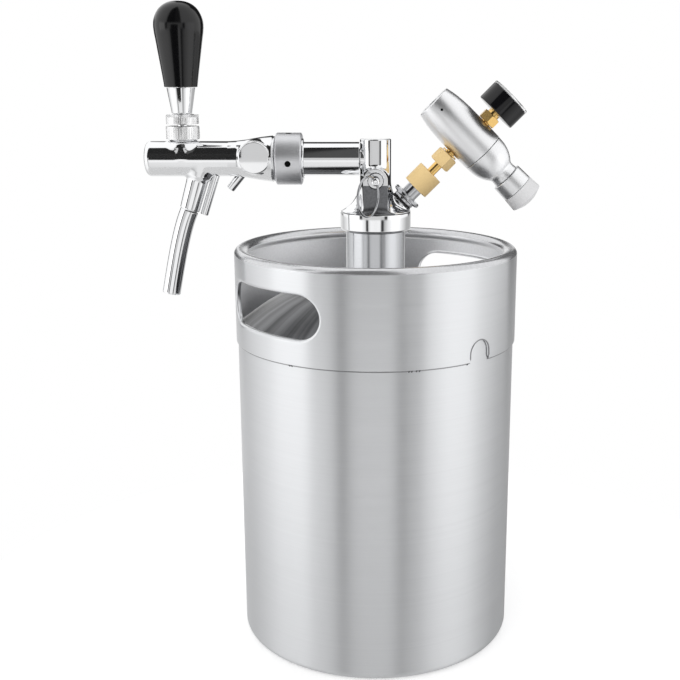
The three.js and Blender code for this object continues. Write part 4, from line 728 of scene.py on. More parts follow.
def rib_ring_tree():
    """Ribs that stand round a ring, each a small bar along the ring's axis."""
    known = bpy.data.node_groups.get("Rib ring")
    if known:
        return known
    sizes = {"Count": 40, "Radius": 0.01, "Low": 0.0, "High": 0.005, "Width": 0.001}
    tree, start = node_group("Rib ring", sizes)
    ring = {"Vertices": "Count", "Radius": "Radius"}
    circle = fed(tree, start, "GeometryNodeMeshCircle", ring)
    bar = node(tree, "GeometryNodeMeshCylinder")
    bar.inputs["Vertices"].default_value = 8
    length = maths(tree, "SUBTRACT", start.outputs["High"], start.outputs["Low"])
    tree.links.new(maths(tree, "MULTIPLY", start.outputs["Width"], 0.5), bar.inputs["Radius"])
    tree.links.new(length, bar.inputs["Depth"])
    centre = maths(tree, "ADD", start.outputs["High"], start.outputs["Low"])
    lift = node(tree, "ShaderNodeCombineXYZ")
    tree.links.new(maths(tree, "MULTIPLY", centre, 0.5), lift.inputs["Z"])
    stand = node(tree, "GeometryNodeInstanceOnPoints")
    tree.links.new(circle.outputs["Mesh"], stand.inputs["Points"])
    tree.links.new(bar.outputs["Mesh"], stand.inputs["Instance"])
    move = node(tree, "GeometryNodeTranslateInstances")
    move.inputs["Local Space"].default_value = False
    tree.links.new(stand.outputs["Instances"], move.inputs["Instances"])
    tree.links.new(lift.outputs["Vector"], move.inputs["Translation"])
    return finished_tree(tree, move.outputs["Instances"], start)


def coil_tree():
    """A wire wound round +Z, for springs and threads."""
    known = bpy.data.node_groups.get("Coil")
    if known:
        return known
    sizes = {"Radius": 0.003, "Length": 0.01, "Turns": 5.0, "Wire": 0.0005}
    tree, start = node_group("Coil", {**sizes, "Sides": 10, "Steps": 40})
    winding = {
        "Resolution": "Steps",
        "Rotations": "Turns",
        "Start Radius": "Radius",
        "End Radius": "Radius",
        "Height": "Length",
    }
    spiral = fed(tree, start, "GeometryNodeCurveSpiral", winding)
    section = {"Resolution": "Sides", "Radius": "Wire"}
    ring = fed(tree, start, "GeometryNodeCurvePrimitiveCircle", section)
    wind = node(tree, "GeometryNodeCurveToMesh")
    wind.inputs["Fill Caps"].default_value = True
    tree.links.new(spiral.outputs["Curve"], wind.inputs["Curve"])
    tree.links.new(ring.outputs["Curve"], wind.inputs["Profile Curve"])
    return finished_tree(tree, wind.outputs["Mesh"], start)


def bent_tube_tree():
    """A tube's skin along a smooth bend between two ends."""
    known = bpy.data.node_groups.get("Bent tube")
    if known:
        return known
    course = {
        "Start": (0, 0, 0),
        "Start Handle": (0, 0, -0.02),
        "End Handle": (0, 0, -0.04),
        "End": (0, 0, -0.06),
    }
    tree, start = node_group("Bent tube", {**course, "Radius": 0.005, "Sides": 72, "Steps": 64})
    along = {**{label: label for label in course}, "Resolution": "Steps"}
    bend = fed(tree, start, "GeometryNodeCurvePrimitiveBezierSegment", along, mode="POSITION")
    section = {"Resolution": "Sides", "Radius": "Radius"}
    ring = fed(tree, start, "GeometryNodeCurvePrimitiveCircle", section)
    sweep = node(tree, "GeometryNodeCurveToMesh")
    tree.links.new(bend.outputs["Curve"], sweep.inputs["Curve"])
    tree.links.new(ring.outputs["Curve"], sweep.inputs["Profile Curve"])
    return finished_tree(tree, sweep.outputs["Mesh"], start)


def tick_arc_tree():
    """Flat ticks on an arc of a dial, standing a hair above it."""
    known = bpy.data.node_groups.get("Tick arc")
    if known:
        return known
    sizes = {"Count": 31, "Radius": 0.01, "Length": 0.001, "Width": 0.0002}
    tree, start = node_group("Tick arc", {**sizes, "Start": -2.36, "Sweep": 4.71})
    course = {
        "Resolution": "Count",
        "Radius": "Radius",
        "Start Angle": "Start",
        "Sweep Angle": "Sweep",
    }
    bow = fed(tree, start, "GeometryNodeCurveArc", course)
    spots = node(tree, "GeometryNodeCurveToPoints", mode="EVALUATED")
    tree.links.new(bow.outputs["Curve"], spots.inputs["Curve"])
    size = fed(tree, start, "ShaderNodeCombineXYZ", {"X": "Length", "Y": "Width"})
    size.inputs["Z"].default_value = 0.04 * MM
    tick = node(tree, "GeometryNodeMeshCube")
    tree.links.new(size.outputs["Vector"], tick.inputs["Size"])
    place = node(tree, "GeometryNodeInputPosition")
    face = node(tree, "FunctionNodeAlignRotationToVector", axis="X")
    tree.links.new(place.outputs["Position"], face.inputs["Vector"])
    stand = node(tree, "GeometryNodeInstanceOnPoints")
    tree.links.new(spots.outputs["Points"], stand.inputs["Points"])
    tree.links.new(tick.outputs["Mesh"], stand.inputs["Instance"])
    tree.links.new(face.outputs["Rotation"], stand.inputs["Rotation"])
    return finished_tree(tree, stand.outputs["Instances"], start)


# Finishes


def new_finish(name):
    """An empty node material and its shader, or the one already made under that name."""
    title = name.replace("_", " ") + " finish"
    known = bpy.data.materials.get(title)
    if known:
        return known, None, None
    made = bpy.data.materials.new(title)
    made.use_nodes = True
    tree = made.node_tree
    return made, tree, tree.nodes["Principled BSDF"]


def spread(tree, value, low, high):
    """Maps a value from 0..1 onto a range."""
    made = node(tree, "ShaderNodeMapRange")
    made.inputs["To Min"].default_value = low
    made.inputs["To Max"].default_value = high
    tree.links.new(value, made.inputs["Value"])
    return made.outputs["Result"]


def object_noise(tree, scale, detail=2.0, turn=(0, 0, 0)):
    """Noise on the piece's own coordinates, stretched and turned on the piece."""
    place = node(tree, "ShaderNodeTexCoord")
    mapping = node(tree, "ShaderNodeMapping")
    mapping.inputs["Rotation"].default_value = turn
    stretch = node(tree, "ShaderNodeVectorMath", operation="MULTIPLY")
    stretch.inputs[1].default_value = scale
    noise = node(tree, "ShaderNodeTexNoise")
    noise.inputs["Scale"].default_value = 1.0
    noise.inputs["Detail"].default_value = detail
    noise.inputs["Roughness"].default_value = 0.6
    tree.links.new(place.outputs["Object"], mapping.inputs["Vector"])
    tree.links.new(mapping.outputs["Vector"], stretch.inputs[0])
    tree.links.new(stretch.outputs["Vector"], noise.inputs["Vector"])
    return noise.outputs["Fac"]


def lathe_lines(tree, lines):
    """Noise that changes only along a turned piece's outline, as a lathe tool leaves it."""
    marks = node(tree, "ShaderNodeUVMap", uv_map="turned")
    parts = node(tree, "ShaderNodeSeparateXYZ")
    noise = node(tree, "ShaderNodeTexNoise", noise_dimensions="1D")
    noise.inputs["Scale"].default_value = 1.0
    noise.inputs["Detail"].default_value = 3.0
    tree.links.new(marks.outputs["UV"], parts.inputs["Vector"])
    tree.links.new(maths(tree, "MULTIPLY", parts.outputs["Y"], lines), noise.inputs["W"])
    return noise.outputs["Fac"]


def tinted(tree, shader, value, colour, low=0.94, high=1.04):
    """Varies a colour a little with a value from 0..1."""
    mix = node(tree, "ShaderNodeMix", data_type="RGBA")
    mix.inputs["A"].default_value = [min(1, part * low) for part in colour] + [1]
    mix.inputs["B"].default_value = [min(1, part * high) for part in colour] + [1]
    tree.links.new(value, mix.inputs["Factor"])
    tree.links.new(mix.outputs["Result"], shader.inputs["Base Color"])


def bumped(tree, shader, value, strength, depth):
    bump = node(tree, "ShaderNodeBump")
    bump.inputs["Strength"].default_value = strength
    bump.inputs["Distance"].default_value = depth
    tree.links.new(value, bump.inputs["Height"])
    tree.links.new(bump.outputs["Normal"], shader.inputs["Normal"])


def satin_keg_steel():
    """Steel brushed round the keg: fine level lines that stretch its reflections up and down."""
    made, tree, shader = new_finish("satin_keg_steel")
    if tree is None:
        return made
    colour = bpy.context.scene.keg_colours.keg
    shader.inputs["Metallic"].default_value = 1.0
    shader.inputs["Anisotropic"].default_value = 0.9
    shader.inputs["Anisotropic Rotation"].default_value = 0.25
    fine = object_noise(tree, (5, 5, 1600), 3)
    broad = object_noise(tree, (2, 2, 260), 2)
    both = maths(tree, "MULTIPLY", maths(tree, "ADD", fine, broad), 0.5)
    tinted(tree, shader, both, colour, 0.93, 1.05)
    tree.links.new(spread(tree, both, 0.24, 0.40), shader.inputs["Roughness"])
    bumped(tree, shader, fine, 0.08, 0.02 * MM)
    tangent = node(tree, "ShaderNodeTangent", direction_type="RADIAL", axis="Z")
    tree.links.new(tangent.outputs["Tangent"], shader.inputs["Tangent"])
    return made


def spun_finish(name, colour, low, high, lines=2600, strength=0.1, stretch=0.6):
    """Metal turned or spun on a lathe: fine rings that stretch its reflections across them."""
    made, tree, shader = new_finish(name)
    if tree is None:
        return made
    shader.inputs["Metallic"].default_value = 1.0
    shader.inputs["Anisotropic"].default_value = stretch
    shader.inputs["Anisotropic Rotation"].default_value = 0.25
    rings = lathe_lines(tree, lines)
    grain = object_noise(tree, (900, 900, 900), 2)
    both = maths(tree, "MULTIPLY", maths(tree, "ADD", rings, grain), 0.5)
    tinted(tree, shader, both, colour, 0.92, 1.06)
    tree.links.new(spread(tree, both, low, high), shader.inputs["Roughness"])
    bumped(tree, shader, rings, strength, 0.02 * MM)
    tangent = node(tree, "ShaderNodeTangent", direction_type="UV_MAP", uv_map="turned")
    tree.links.new(tangent.outputs["Tangent"], shader.inputs["Tangent"])
    return made


def polished_chrome(name="polished_chrome", colour=None, low=0.03, high=0.08):
    """Mirror plating with faint wipe marks."""
    made, tree, shader = new_finish(name)
    if tree is None:
        return made
    shader.inputs["Metallic"].default_value = 1.0
    marks = object_noise(tree, (180, 180, 180), 4)
    tinted(tree, shader, marks, colour or bpy.context.scene.keg_colours.chrome, 0.97, 1.02)
    tree.links.new(spread(tree, marks, low, high), shader.inputs["Roughness"])
    return made


def plain_finish(name, colour, low, high, grain=600, strength=0.08, metal=0.0, shine=0.5):
    """Plastic, rubber or plated metal with a fine even grain."""
    made, tree, shader = new_finish(name)
    if tree is None:
        return made
    shader.inputs["Metallic"].default_value = metal
    shader.inputs["Specular IOR Level"].default_value = shine
    value = object_noise(tree, (grain, grain, grain), 3)
    tinted(tree, shader, value, colour, 0.9, 1.1)
    tree.links.new(spread(tree, value, low, high), shader.inputs["Roughness"])
    bumped(tree, shader, value, strength, 0.03 * MM)
    return made


def head_chrome():
    """Chrome whose pad is left as cast, grey and grained, below the relief plug."""
    made, tree, shader = new_finish("head_chrome")
    if tree is None:
        return made
    shader.inputs["Metallic"].default_value = 1.0
    place = node(tree, "ShaderNodeTexCoord")
    parts = node(tree, "ShaderNodeSeparateXYZ")
    tree.links.new(place.outputs["Object"], parts.inputs["Vector"])
    ahead = step_between(tree, parts.outputs["Y"], -(PAD_FACE - 0.3) * MM, -(PAD_FACE - 0.1) * MM)
    below = RELIEF_HEIGHT - 3.2 * MM
    above = step_between(tree, parts.outputs["Z"], below, below + 0.5 * MM)
    cast = maths(tree, "MULTIPLY", ahead, maths(tree, "SUBTRACT", 1.0, above))
    marks = object_noise(tree, (180, 180, 180), 4)
    grain = object_noise(tree, (1500, 1500, 1500), 3)
    grey = blended(tree, grain, (0.06, 0.062, 0.066, 1), (0.34, 0.345, 0.36, 1))
    tone = bpy.context.scene.keg_colours.chrome
    worn = tuple(part * 0.97 for part in tone) + (1,)
    clean = tuple(min(1, part * 1.02) for part in tone) + (1,)
    bright = blended(tree, marks, worn, clean)
    tree.links.new(blended(tree, cast, bright, grey), shader.inputs["Base Color"])
    smooth = spread(tree, marks, 0.03, 0.08)
    rough = maths(tree, "ADD", smooth, maths(tree, "MULTIPLY", cast, 0.34))
    tree.links.new(rough, shader.inputs["Roughness"])
    bumped(tree, shader, maths(tree, "MULTIPLY", grain, cast), 0.3, 0.05 * MM)
    return made


def clear_lens():
    made, tree, shader = new_finish("clear_lens")
    if tree is None:
        return made
    shader.inputs["Transmission Weight"].default_value = 1.0
    shader.inputs["IOR"].default_value = 1.46
    value = object_noise(tree, (200, 200, 200), 2)
    tinted(tree, shader, value, (0.98, 0.985, 0.99), 1.0, 1.02)
    tree.links.new(spread(tree, value, 0.0, 0.02), shader.inputs["Roughness"])
    return made


# Even finishes: colour, least and most roughness, grain, depth of grain, metal, shine
PLAIN_FINISHES = {
    "inner_steel": ((0.86, 0.865, 0.885), 0.34, 0.44, 700, 0.02, 0.75),
    "rolled_steel": ((0.66, 0.665, 0.68), 0.2, 0.26, 500, 0.0, 0.8),
    "burnt_steel": ((0.10, 0.10, 0.105), 0.4, 0.6, 2000, 0.3, 0.7),
    # Painted shade: flat black for the shade deep in drilled holes and in the gap under the collar
    "painted_hollow_shade": ((0.006, 0.006, 0.006), 0.6, 0.8, 900, 0.1, 0.0, 0.2),
    "knurled_nickel": ((0.93, 0.93, 0.94), 0.2, 0.34, 1800, 0.9, 0.8),
    "frosted_aluminium": ((0.80, 0.80, 0.81), 0.55, 0.7, 1400, 0.3),
    "plated_steel": ((0.52, 0.525, 0.54), 0.08, 0.14, 700, 0.0, 1.0),
    "spring_steel": ((0.32, 0.32, 0.33), 0.25, 0.4, 900, 0.1, 1.0),
    "case_black": ((0.005, 0.005, 0.006), 0.06, 0.1, 500, 0.01, 0.0, 0.4),
    "seal_rubber": ((0.012, 0.012, 0.013), 0.6, 0.75, 800, 0.2),
    "white_nylon": ((0.78, 0.76, 0.70), 0.4, 0.5, 700, 0.1),
    "dial_white": ((0.86, 0.86, 0.84), 0.5, 0.6, 900, 0.03),
    "dial_black": ((0.02, 0.02, 0.02), 0.5, 0.6, 900, 0.02),
    "pointer_red": ((0.50, 0.02, 0.015), 0.4, 0.5, 600, 0.03),
    "card_black": ((0.01, 0.01, 0.01), 0.7, 0.8, 300, 0.05),
}

# Turned finishes: colour, least and most roughness, lines, depth of lines, stretch
SPUN_FINISHES = {
    "satin_nickel": ((0.76, 0.765, 0.785), 0.38, 0.52, 1800, 0.12, 0.2),
    "spun_steel": ((0.62, 0.63, 0.645), 0.26, 0.42, 1500, 0.12),
    "neck_steel": ((0.62, 0.63, 0.65), 0.16, 0.26, 1500, 0.03, 0.8),
    "satin_aluminium": ((0.93, 0.935, 0.95), 0.30, 0.42, 3000, 0.05, 0.2),
}


def finish(name):
    """One of the finishes above, made when it's first asked for."""
    if name in SPUN_FINISHES:
        return spun_finish(name, *SPUN_FINISHES[name])
    return plain_finish(name, *PLAIN_FINISHES[name])


def dome_shade_and_streaks():
    """The dome inside the carrying ring: painted dark as painted shade for lying inside the ring,
    with lighter painted reflection streaks that run out from its middle.
    """
    made, tree, shader = new_finish("dome_shade_and_streaks")
    if tree is None:
        return made
    shader.inputs["Metallic"].default_value = 1.0
    place = node(tree, "ShaderNodeTexCoord")
    parts = node(tree, "ShaderNodeSeparateXYZ")
    tree.links.new(place.outputs["Object"], parts.inputs["Vector"])
    turn = maths(tree, "ARCTAN2", parts.outputs["Y"], parts.outputs["X"])
    streaks = node(tree, "ShaderNodeTexNoise", noise_dimensions="1D")
    streaks.inputs["Scale"].default_value = 1.0
    streaks.inputs["Detail"].default_value = 4.0
    tree.links.new(maths(tree, "MULTIPLY", turn, 9.0), streaks.inputs["W"])
    sharper = spread(tree, streaks.outputs["Fac"], -0.9, 1.9)
    streak = maths(tree, "MAXIMUM", maths(tree, "MINIMUM", sharper, 1.0), 0.0)
    # Painted shade and painted reflection: dark grey between the streaks, lighter along them.
    tone = blended(tree, streak, (0.07, 0.071, 0.074, 1), (0.19, 0.193, 0.2, 1))
    tree.links.new(tone, shader.inputs["Base Color"])
    grain = object_noise(tree, (900, 900, 900), 2)
    tree.links.new(spread(tree, grain, 0.26, 0.36), shader.inputs["Roughness"])
    bumped(tree, shader, grain, 0.04, 0.02 * MM)
    return made


def pale_brass():
    colours = bpy.context.scene.keg_colours
    return plain_finish("pale_brass", colours.pale_brass, 0.5, 0.62, 900, 0.12, shine=0.2)


def gold_brass():
    colours = bpy.context.scene.keg_colours
    return plain_finish("gold_brass", colours.gold_brass, 0.14, 0.24, 900, 0.05, metal=1.0)


def handle_black():
    colours = bpy.context.scene.keg_colours
    return plain_finish("handle_black", colours.handle, 0.12, 0.18, 120, 0.0)


# More shaping


def joined(thing, *others):
    """Adds other objects' meshes to the first one's, and removes them."""
    shape = bmesh.new()
    shape.from_mesh(thing.data)
    for other in others:
        shape.from_mesh(other.data)
        mesh = other.data
        bpy.data.objects.remove(other)
        bpy.data.meshes.remove(mesh)
    shape.to_mesh(thing.data)
    shape.free()
    return thing


def on_outline(pairs):
    """Points in metres from (radius, height) pairs in millimetres."""
    return [Vector((radius * MM, height * MM)) for radius, height in pairs]


def smooth_outline(pairs, edge=0.25, closed=False, sharp=62):
    return rounded_outline(on_outline(pairs), closed, edge * MM, sharp)


def arc(radius, first, last, steps, height=0):
    """Points on an arc round (0, height) from one turn to another."""
    turns = [first + (last - first) * part / steps for part in range(steps + 1)]
    return [(radius * math.cos(turn), height + radius * math.sin(turn)) for turn in turns]


def loop_faces(count, sides):
    """Faces of a closed loop of closed sections, numbered section by section."""
    faces = []
    for index in range(count):
        here, there = index * sides, (index + 1) % count * sides
        for side in range(sides):
            after = (side + 1) % sides
            faces.append((here + side, here + after, there + after, there + side))
    return faces


def stadium(reach, radius, count=20):
    """A slot's outline with round ends: straight runs of the given half length."""
    points = []
    for side in (1, -1):
        for part in range(count + 1):
            angle = math.pi * part / count - math.pi / 2
            across = side * (reach + radius * math.cos(angle))
            points.append((across, side * radius * math.sin(angle)))
    runs = []
    for index, point in enumerate(points):
        after = points[(index + 1) % len(points)]
        runs.append(point)
        gap = math.hypot(after[0] - point[0], after[1] - point[1])
        pieces = int(gap // (1.5 * MM))
        if gap > 3 * MM:
            for part in range(1, pieces):
                share = part / pieces
                runs.append((point[0] + (after[0] - point[0]) * share, point[1]))
    return runs


# Hand holes and drain notches of the ring: sizes, places and turns from the front
HOLE_SIZE = (82.4 * MM, 26.7 * MM)
HOLE_DROP = 30.75 * MM
HOLE_TURNS = (48.75, 228.75)
HOLE_LIP = 3.4 * MM
NOTCH_SIZE = (16.7 * MM, 13 * MM)
NOTCH_TURNS = (43.8, 223.8)
RING_SHEET = 0.8 * MM
ROLL_HEIGHT = 3.6 * MM


def radial_cutter(name, outline, turn, height):
    """A flat outline pushed out through the ring at a turn from the front."""
    cutter = prism(name, outline, KEG_RADIUS * 0.7, KEG_RADIUS * 1.1)
    stand = Matrix.Rotation(math.pi / 2, 4, "X")
    swing = Matrix.Rotation(math.radians(turn), 4, "Z")
    cutter.data.transform(Matrix.Translation((0, 0, height)) @ swing @ stand)
    tidy_mesh(cutter.data)
    return cutter


def hole_flange(turn, lip_round):
    """The rolled lip of a hand hole: its sheet turns in over a round edge."""
    radius = HOLE_SIZE[1] / 2
    reach = HOLE_SIZE[0] / 2 - radius
    hook = []
    for part in range(7):
        angle = math.pi / 2 * part / 6
        hook.append((lip_round * (1 - math.sin(angle)), lip_round * (1 - math.cos(angle))))
    hook += [(0, HOLE_LIP - 0.2 * MM), (0.1 * MM, HOLE_LIP), (RING_SHEET - 0.1 * MM, HOLE_LIP)]
    hook.append((RING_SHEET, HOLE_LIP - 0.2 * MM))
    inner = lip_round - RING_SHEET
    for part in range(7):
        angle = math.pi / 2 * (1 - part / 6)
        hook.append((lip_round - inner * math.sin(angle), lip_round - inner * math.cos(angle)))
    base = stadium(reach, radius)
    points = []
    for x, z in base:
        core = max(-reach, min(reach, x))
        out = Vector((x - core, z)).normalized()
        for grow, depth in hook:
            across = x + out.x * grow
            away = math.sqrt(KEG_RADIUS**2 - across**2) - depth
            points.append((across, -away, z + out.y * grow))
    mesh = mesh_from("hole_flange", points, loop_faces(len(base), len(hook)))
    flange = new_object("hole_flange", mesh)
    swing = Matrix.Rotation(math.radians(turn), 4, "Z")
    flange.data.transform(Matrix.Translation((0, 0, KEG_TOP - HOLE_DROP)) @ swing)
    return flange


def make_handle_ring():
    lip_round = bpy.context.scene.keg_sizes.lip_round
    ring = turned_piece("carrying_ring", "handle_ring", Vector(), UP, FRONT, 288, 0.35 * MM)
    radius = HOLE_SIZE[1] / 2
    reach = HOLE_SIZE[0] / 2 - radius
    hole = stadium(reach, radius + lip_round)
    half_notch = NOTCH_SIZE[0] / 2
    arch = [(-half_notch, -3 * MM), (half_notch, -3 * MM)]
    arch += arc(half_notch, 0, math.pi, 16, NOTCH_SIZE[1] - half_notch)
    for turn in HOLE_TURNS:
        combined(ring, radial_cutter("cutter", hole, -turn, KEG_TOP - HOLE_DROP), "DIFFERENCE")
    for turn in NOTCH_TURNS:
        combined(ring, radial_cutter("cutter", arch, turn, RING_LOW.z), "DIFFERENCE")
    joined(ring, *[hole_flange(-turn, lip_round) for turn in HOLE_TURNS])
    tidy_mesh(ring.data, 50)
    return ring


# Cast head, heights from the top of the neck in millimetres
SKIRT_TOP = 6.6
HEAD_OUTLINE = [
    (0, 2.1),
    (17, 2.1),
    (17, SKIRT_TOP),
    (21.9, SKIRT_TOP),
    (21.9, 7.2),
    (16.09, 10.98),
    (13.19, 14.76),
    (10.89, 19.8),
    (9.8, 25.2),
    (9.8, 51.2),
    (9, 52),
    (0, 52),
]
PAD_WIDTH = 15
PAD_FACE = 18.5
PAD_TOP = 27.3
PAD_FILLET = 2.2 * MM
PORT_FILLET = 1.6 * MM


def make_head():
    origin = Vector((0, 0, NECK_TOP))
    body = turned_form(smooth_outline(HEAD_OUTLINE, 0.15), origin, UP)
    half_pad = PAD_WIDTH / 2
    pad_outline = [(-half_pad, SKIRT_TOP), (half_pad, SKIRT_TOP)]
    pad_outline += arc(half_pad, 0, math.pi, 24, PAD_TOP)
    pad = flat_form(pad_outline, 4, PAD_FACE, origin)
    root = rod_form(6.9, 0, 9.8, ARM_AXIS, LEFT)
    nipple = rod_form(6.2, 9, 15.4, ARM_AXIS, LEFT)
    gas = rod_form(8.2, 0, 22.7, GAS_ORIGIN, GAS_WAY)
    ways = [
        rod_form(5.4, -1, 32, origin, UP),  # gas way round the dip tube
        rod_form(4.3, 16, 39.5, origin, UP),  # beer way above it
        rod_form(4.6, 0, 20, ARM_AXIS, LEFT),  # beer way into the arm
        rod_form(4.7, 17, 30, GAS_ORIGIN, GAS_WAY),  # gas port
        rod_form(7.4, 22.4, 30, GAS_ORIGIN, GAS_WAY),  # room for its lock nut
        rod_form(5, 8.5, 30, RELIEF_AXIS, FRONT),  # relief valve's chamber
        rod_form(1.9, 3, 9, RELIEF_AXIS, FRONT),  # and its way from the gas
    ]

    def distance(points):
        whole = melted(body(points), pad(points), PAD_FILLET)
        whole = np.minimum(whole, root(points))
        below = (origin.z + SKIRT_TOP * MM) - points[:, 2]
        whole = melted(whole, np.maximum(gas(points), below), PORT_FILLET)
        whole = np.minimum(whole, nipple(points))
        for way in ways:
            whole = np.maximum(whole, -way(points))
        return whole

    low = (-23 * MM, -23 * MM, origin.z)
    high = (24 * MM, 23 * MM, origin.z + 54 * MM)
    pitch = bpy.context.scene.keg_sizes.casting_pitch
    return new_object("cast_head", cast_mesh("cast_head", distance, low, high, pitch))


# Cast faucet, (radius, distance from the column) in millimetres
FAUCET_OUTLINE = [
    (0, 54.6),
    (12.9, 54.6),
    (12.9, 62.5),
    (14, 63),
    (14, 63.9),
    (14.4, 64.3),
    (13.35, 72.61),
    (11.88, 80.92),
    (10.9, 92),
    (10.9, 140.5),
    (9.81, 142.9),
    (6.54, 144.18),
    (0, 144.5),
]
BONNET_OUTLINE = [
    (0, 0),
    (10, 0),
    (10, 9.3),
    (7.6, 11.7),
    (7.6, 12.4),
    (8.6, 12.7),
    (8.6, 14.6),
    (0, 14.6),
]
CROSS_OUTLINE = [(0, -11.3), (9.5, -11.3), (10.3, -10.5), (10.3, 10.5), (9.5, 11.3), (0, 11.3)]
NECK_LENGTH = 20.91
NECK_OUTLINE = [
    (0, -10.9),
    (8.4, -10.9),
    (8.4, -1.6),
    (6.8, 1.6),
    (6.3, 20.11),
    (5.9, NECK_LENGTH),
    (0, NECK_LENGTH),
]
SPOUT_NECK = ((-111.8, -12), (-117.9, -32))
VENT = ((-101, -11.5), (-108.8, -35))
BONNET_FILLET = 1.8 * MM
CROSS_FILLET = 1.4 * MM
NECK_FILLET = 2.6 * MM
FLOW_START, FLOW_TRAVEL, FLOW_PLAY = 50.5, 50, 23.4
FLOW_WAY = Vector((-0.636, 0, -0.772)).normalized()

# Bent spout: its foot from the arm's axis, and the ways that it leaves its neck and its foot
SPOUT_FOOT = Vector((-131.9 * MM, 0, -85.7 * MM))
SPOUT_FIRST_WAY = Vector((-0.44, 0, -0.898))
SPOUT_LAST_WAY = Vector((-0.195, 0, -0.981)).normalized()
SPOUT_RADIUS = 5.75 * MM
SPOUT_WALL = 0.9 * MM


def down_line(ends):
    """Start and direction of a line in the faucet's plane."""
    start = ARM_AXIS + Vector((ends[0][0] * MM, 0, ends[0][1] * MM))
    end = ARM_AXIS + Vector((ends[1][0] * MM, 0, ends[1][1] * MM))
    return start, (end - start).normalized()


def make_faucet():
    lever = LEVER_AXIS + UP * ARM_HEIGHT
    neck_start, neck_way = down_line(SPOUT_NECK)
    vent_start, vent_way = down_line(VENT)
    main = turned_form(smooth_outline(FAUCET_OUTLINE, 0.3), ARM_AXIS, LEFT)
    bonnet = turned_form(smooth_outline(BONNET_OUTLINE, 0.3), lever, UP)
    cross = turned_form(smooth_outline(CROSS_OUTLINE, 0.5), FLOW_HUB, FRONT)
    neck = turned_form(smooth_outline(NECK_OUTLINE, 0.3), neck_start, neck_way)
    slot_low = math.radians(180 + FLOW_START - FLOW_PLAY)
    slot_high = math.radians(180 + FLOW_START + FLOW_TRAVEL + FLOW_PLAY)
    sector = arc(8.3, slot_low, slot_high, 12) + arc(20, slot_high, slot_low, 12)
    tail = [(-2.9, 0), (8.9, 0), (8.9, 9.3), (-2.9, 9.3)]
    ways = [
        rod_form(6.5, 50, 94, ARM_AXIS, LEFT),  # way in
        rod_form(4.6, 93, 97, ARM_AXIS, LEFT),  # valve's seat
        rod_form(6.2, 96, 138, ARM_AXIS, LEFT),  # shuttle's chamber
        rod_form(6.3, 0, 20, lever, UP),  # bonnet's bore
        rod_form(7.3, 13.1, 20, lever, UP),  # and its seat for the washer
        rod_form(8.6, -9.7, 14, FLOW_HUB, FRONT),  # flow barrel's bore
        rod_form(4, 0, 30, neck_start, neck_way),  # way out
        rod_form(5.5, 14.91, 30, neck_start, neck_way),  # socket of the spout
        rod_form(2.8, -2.6, 6, vent_start, vent_way),  # socket of the vent tube
        flat_form(sector, -3, 3, FLOW_HUB),  # slot that the flow lever turns in
        flat_form(tail, -2.9, 2.9, lever),  # slot that the lever's tail turns in
    ]

    def distance(points):
        whole = melted(main(points), bonnet(points), BONNET_FILLET)
        whole = melted(whole, cross(points), CROSS_FILLET)
        whole = melted(whole, neck(points), NECK_FILLET)
        for way in ways:
            whole = np.maximum(whole, -way(points))
        return whole

    low = (-146 * MM, -15 * MM, ARM_HEIGHT - 33 * MM)
    high = (-53 * MM, 15 * MM, ARM_HEIGHT + 16 * MM)
    pitch = bpy.context.scene.keg_sizes.casting_pitch
    return new_object("cast_faucet", cast_mesh("cast_faucet", distance, low, high, pitch))


def make_spout():
    start, way = down_line(SPOUT_NECK)
    top = start + way * (NECK_LENGTH + 0.3) * MM
    foot = ARM_AXIS + SPOUT_FOOT
    course = {
        "Start": tuple(top),
        "Start Handle": tuple(top + SPOUT_FIRST_WAY * 12 * MM),
        "End Handle": tuple(foot - SPOUT_LAST_WAY * 22 * MM),
        "End": tuple(foot),
        "Radius": SPOUT_RADIUS,
        "Material": polished_chrome(),
    }
    spout = from_tree("bent_spout", bent_tube_tree(), **course)
    tidy_mesh(spout.data, 60)
    wall = spout.modifiers.new("Wall", "SOLIDIFY")
    wall.thickness = SPOUT_WALL
    wall.offset = -1
    applied(spout)
    return bevelled(spout, 0.12 * MM, 50, 2)


SPANNER_RADIUS = 1.9 * MM
SPANNER_DEPTH = 2.4 * MM
SPANNER_START = -7.5


def spanner_holes():
    """The coupling nut's middle and outer radius, and the ways its four spanner holes face."""
    low, high = box_of("coupling_nut")
    centre = Vector(((low.x + high.x) / 2, 0, ARM_HEIGHT))
    turns = [math.radians(90 * part + SPANNER_START) for part in range(4)]
    ways = [Vector((0, -math.cos(turn), math.sin(turn))) for turn in turns]
    return centre, high.z - ARM_HEIGHT, ways


def make_coupling_nut():
    side = Vector((0, -1, 1)).normalized()
    nut = turned_piece("coupling_nut_body", "coupling_nut", ARM_AXIS, LEFT, side, 128)
    centre, reach, ways = spanner_holes()
    for out in ways:
        drill = rod("drill", SPANNER_RADIUS, reach - SPANNER_DEPTH, reach + 3 * MM, 40)
        combined(nut, placed(drill, centre, out), "DIFFERENCE")
    return bevelled(nut, 0.12 * MM, 50, 2)


def painted_hole_shade(thing, centre, way, radius, low, high):
    """Paints the inside of a drilled hole black, as painted shade for the dark depth of the hole.
    """
    if len(thing.data.materials) < 2:
        thing.data.materials.append(finish("painted_hollow_shade"))
    for face in thing.data.polygons:
        offset = face.center - centre
        along = offset.dot(way)
        if low < along < high and (offset - way * along).length < radius:
            face.material_index = 1
    return thing


# Painted shade: the inside of each spanner hole is painted black for the shade in its depth.
def paint_spanner_hole_shade(nut):
    centre, reach, ways = spanner_holes()
    for out in ways:
        low, high = reach - SPANNER_DEPTH - 0.2 * MM, reach - 0.35 * MM
        painted_hole_shade(nut, centre, out, SPANNER_RADIUS + 0.05 * MM, low, high)


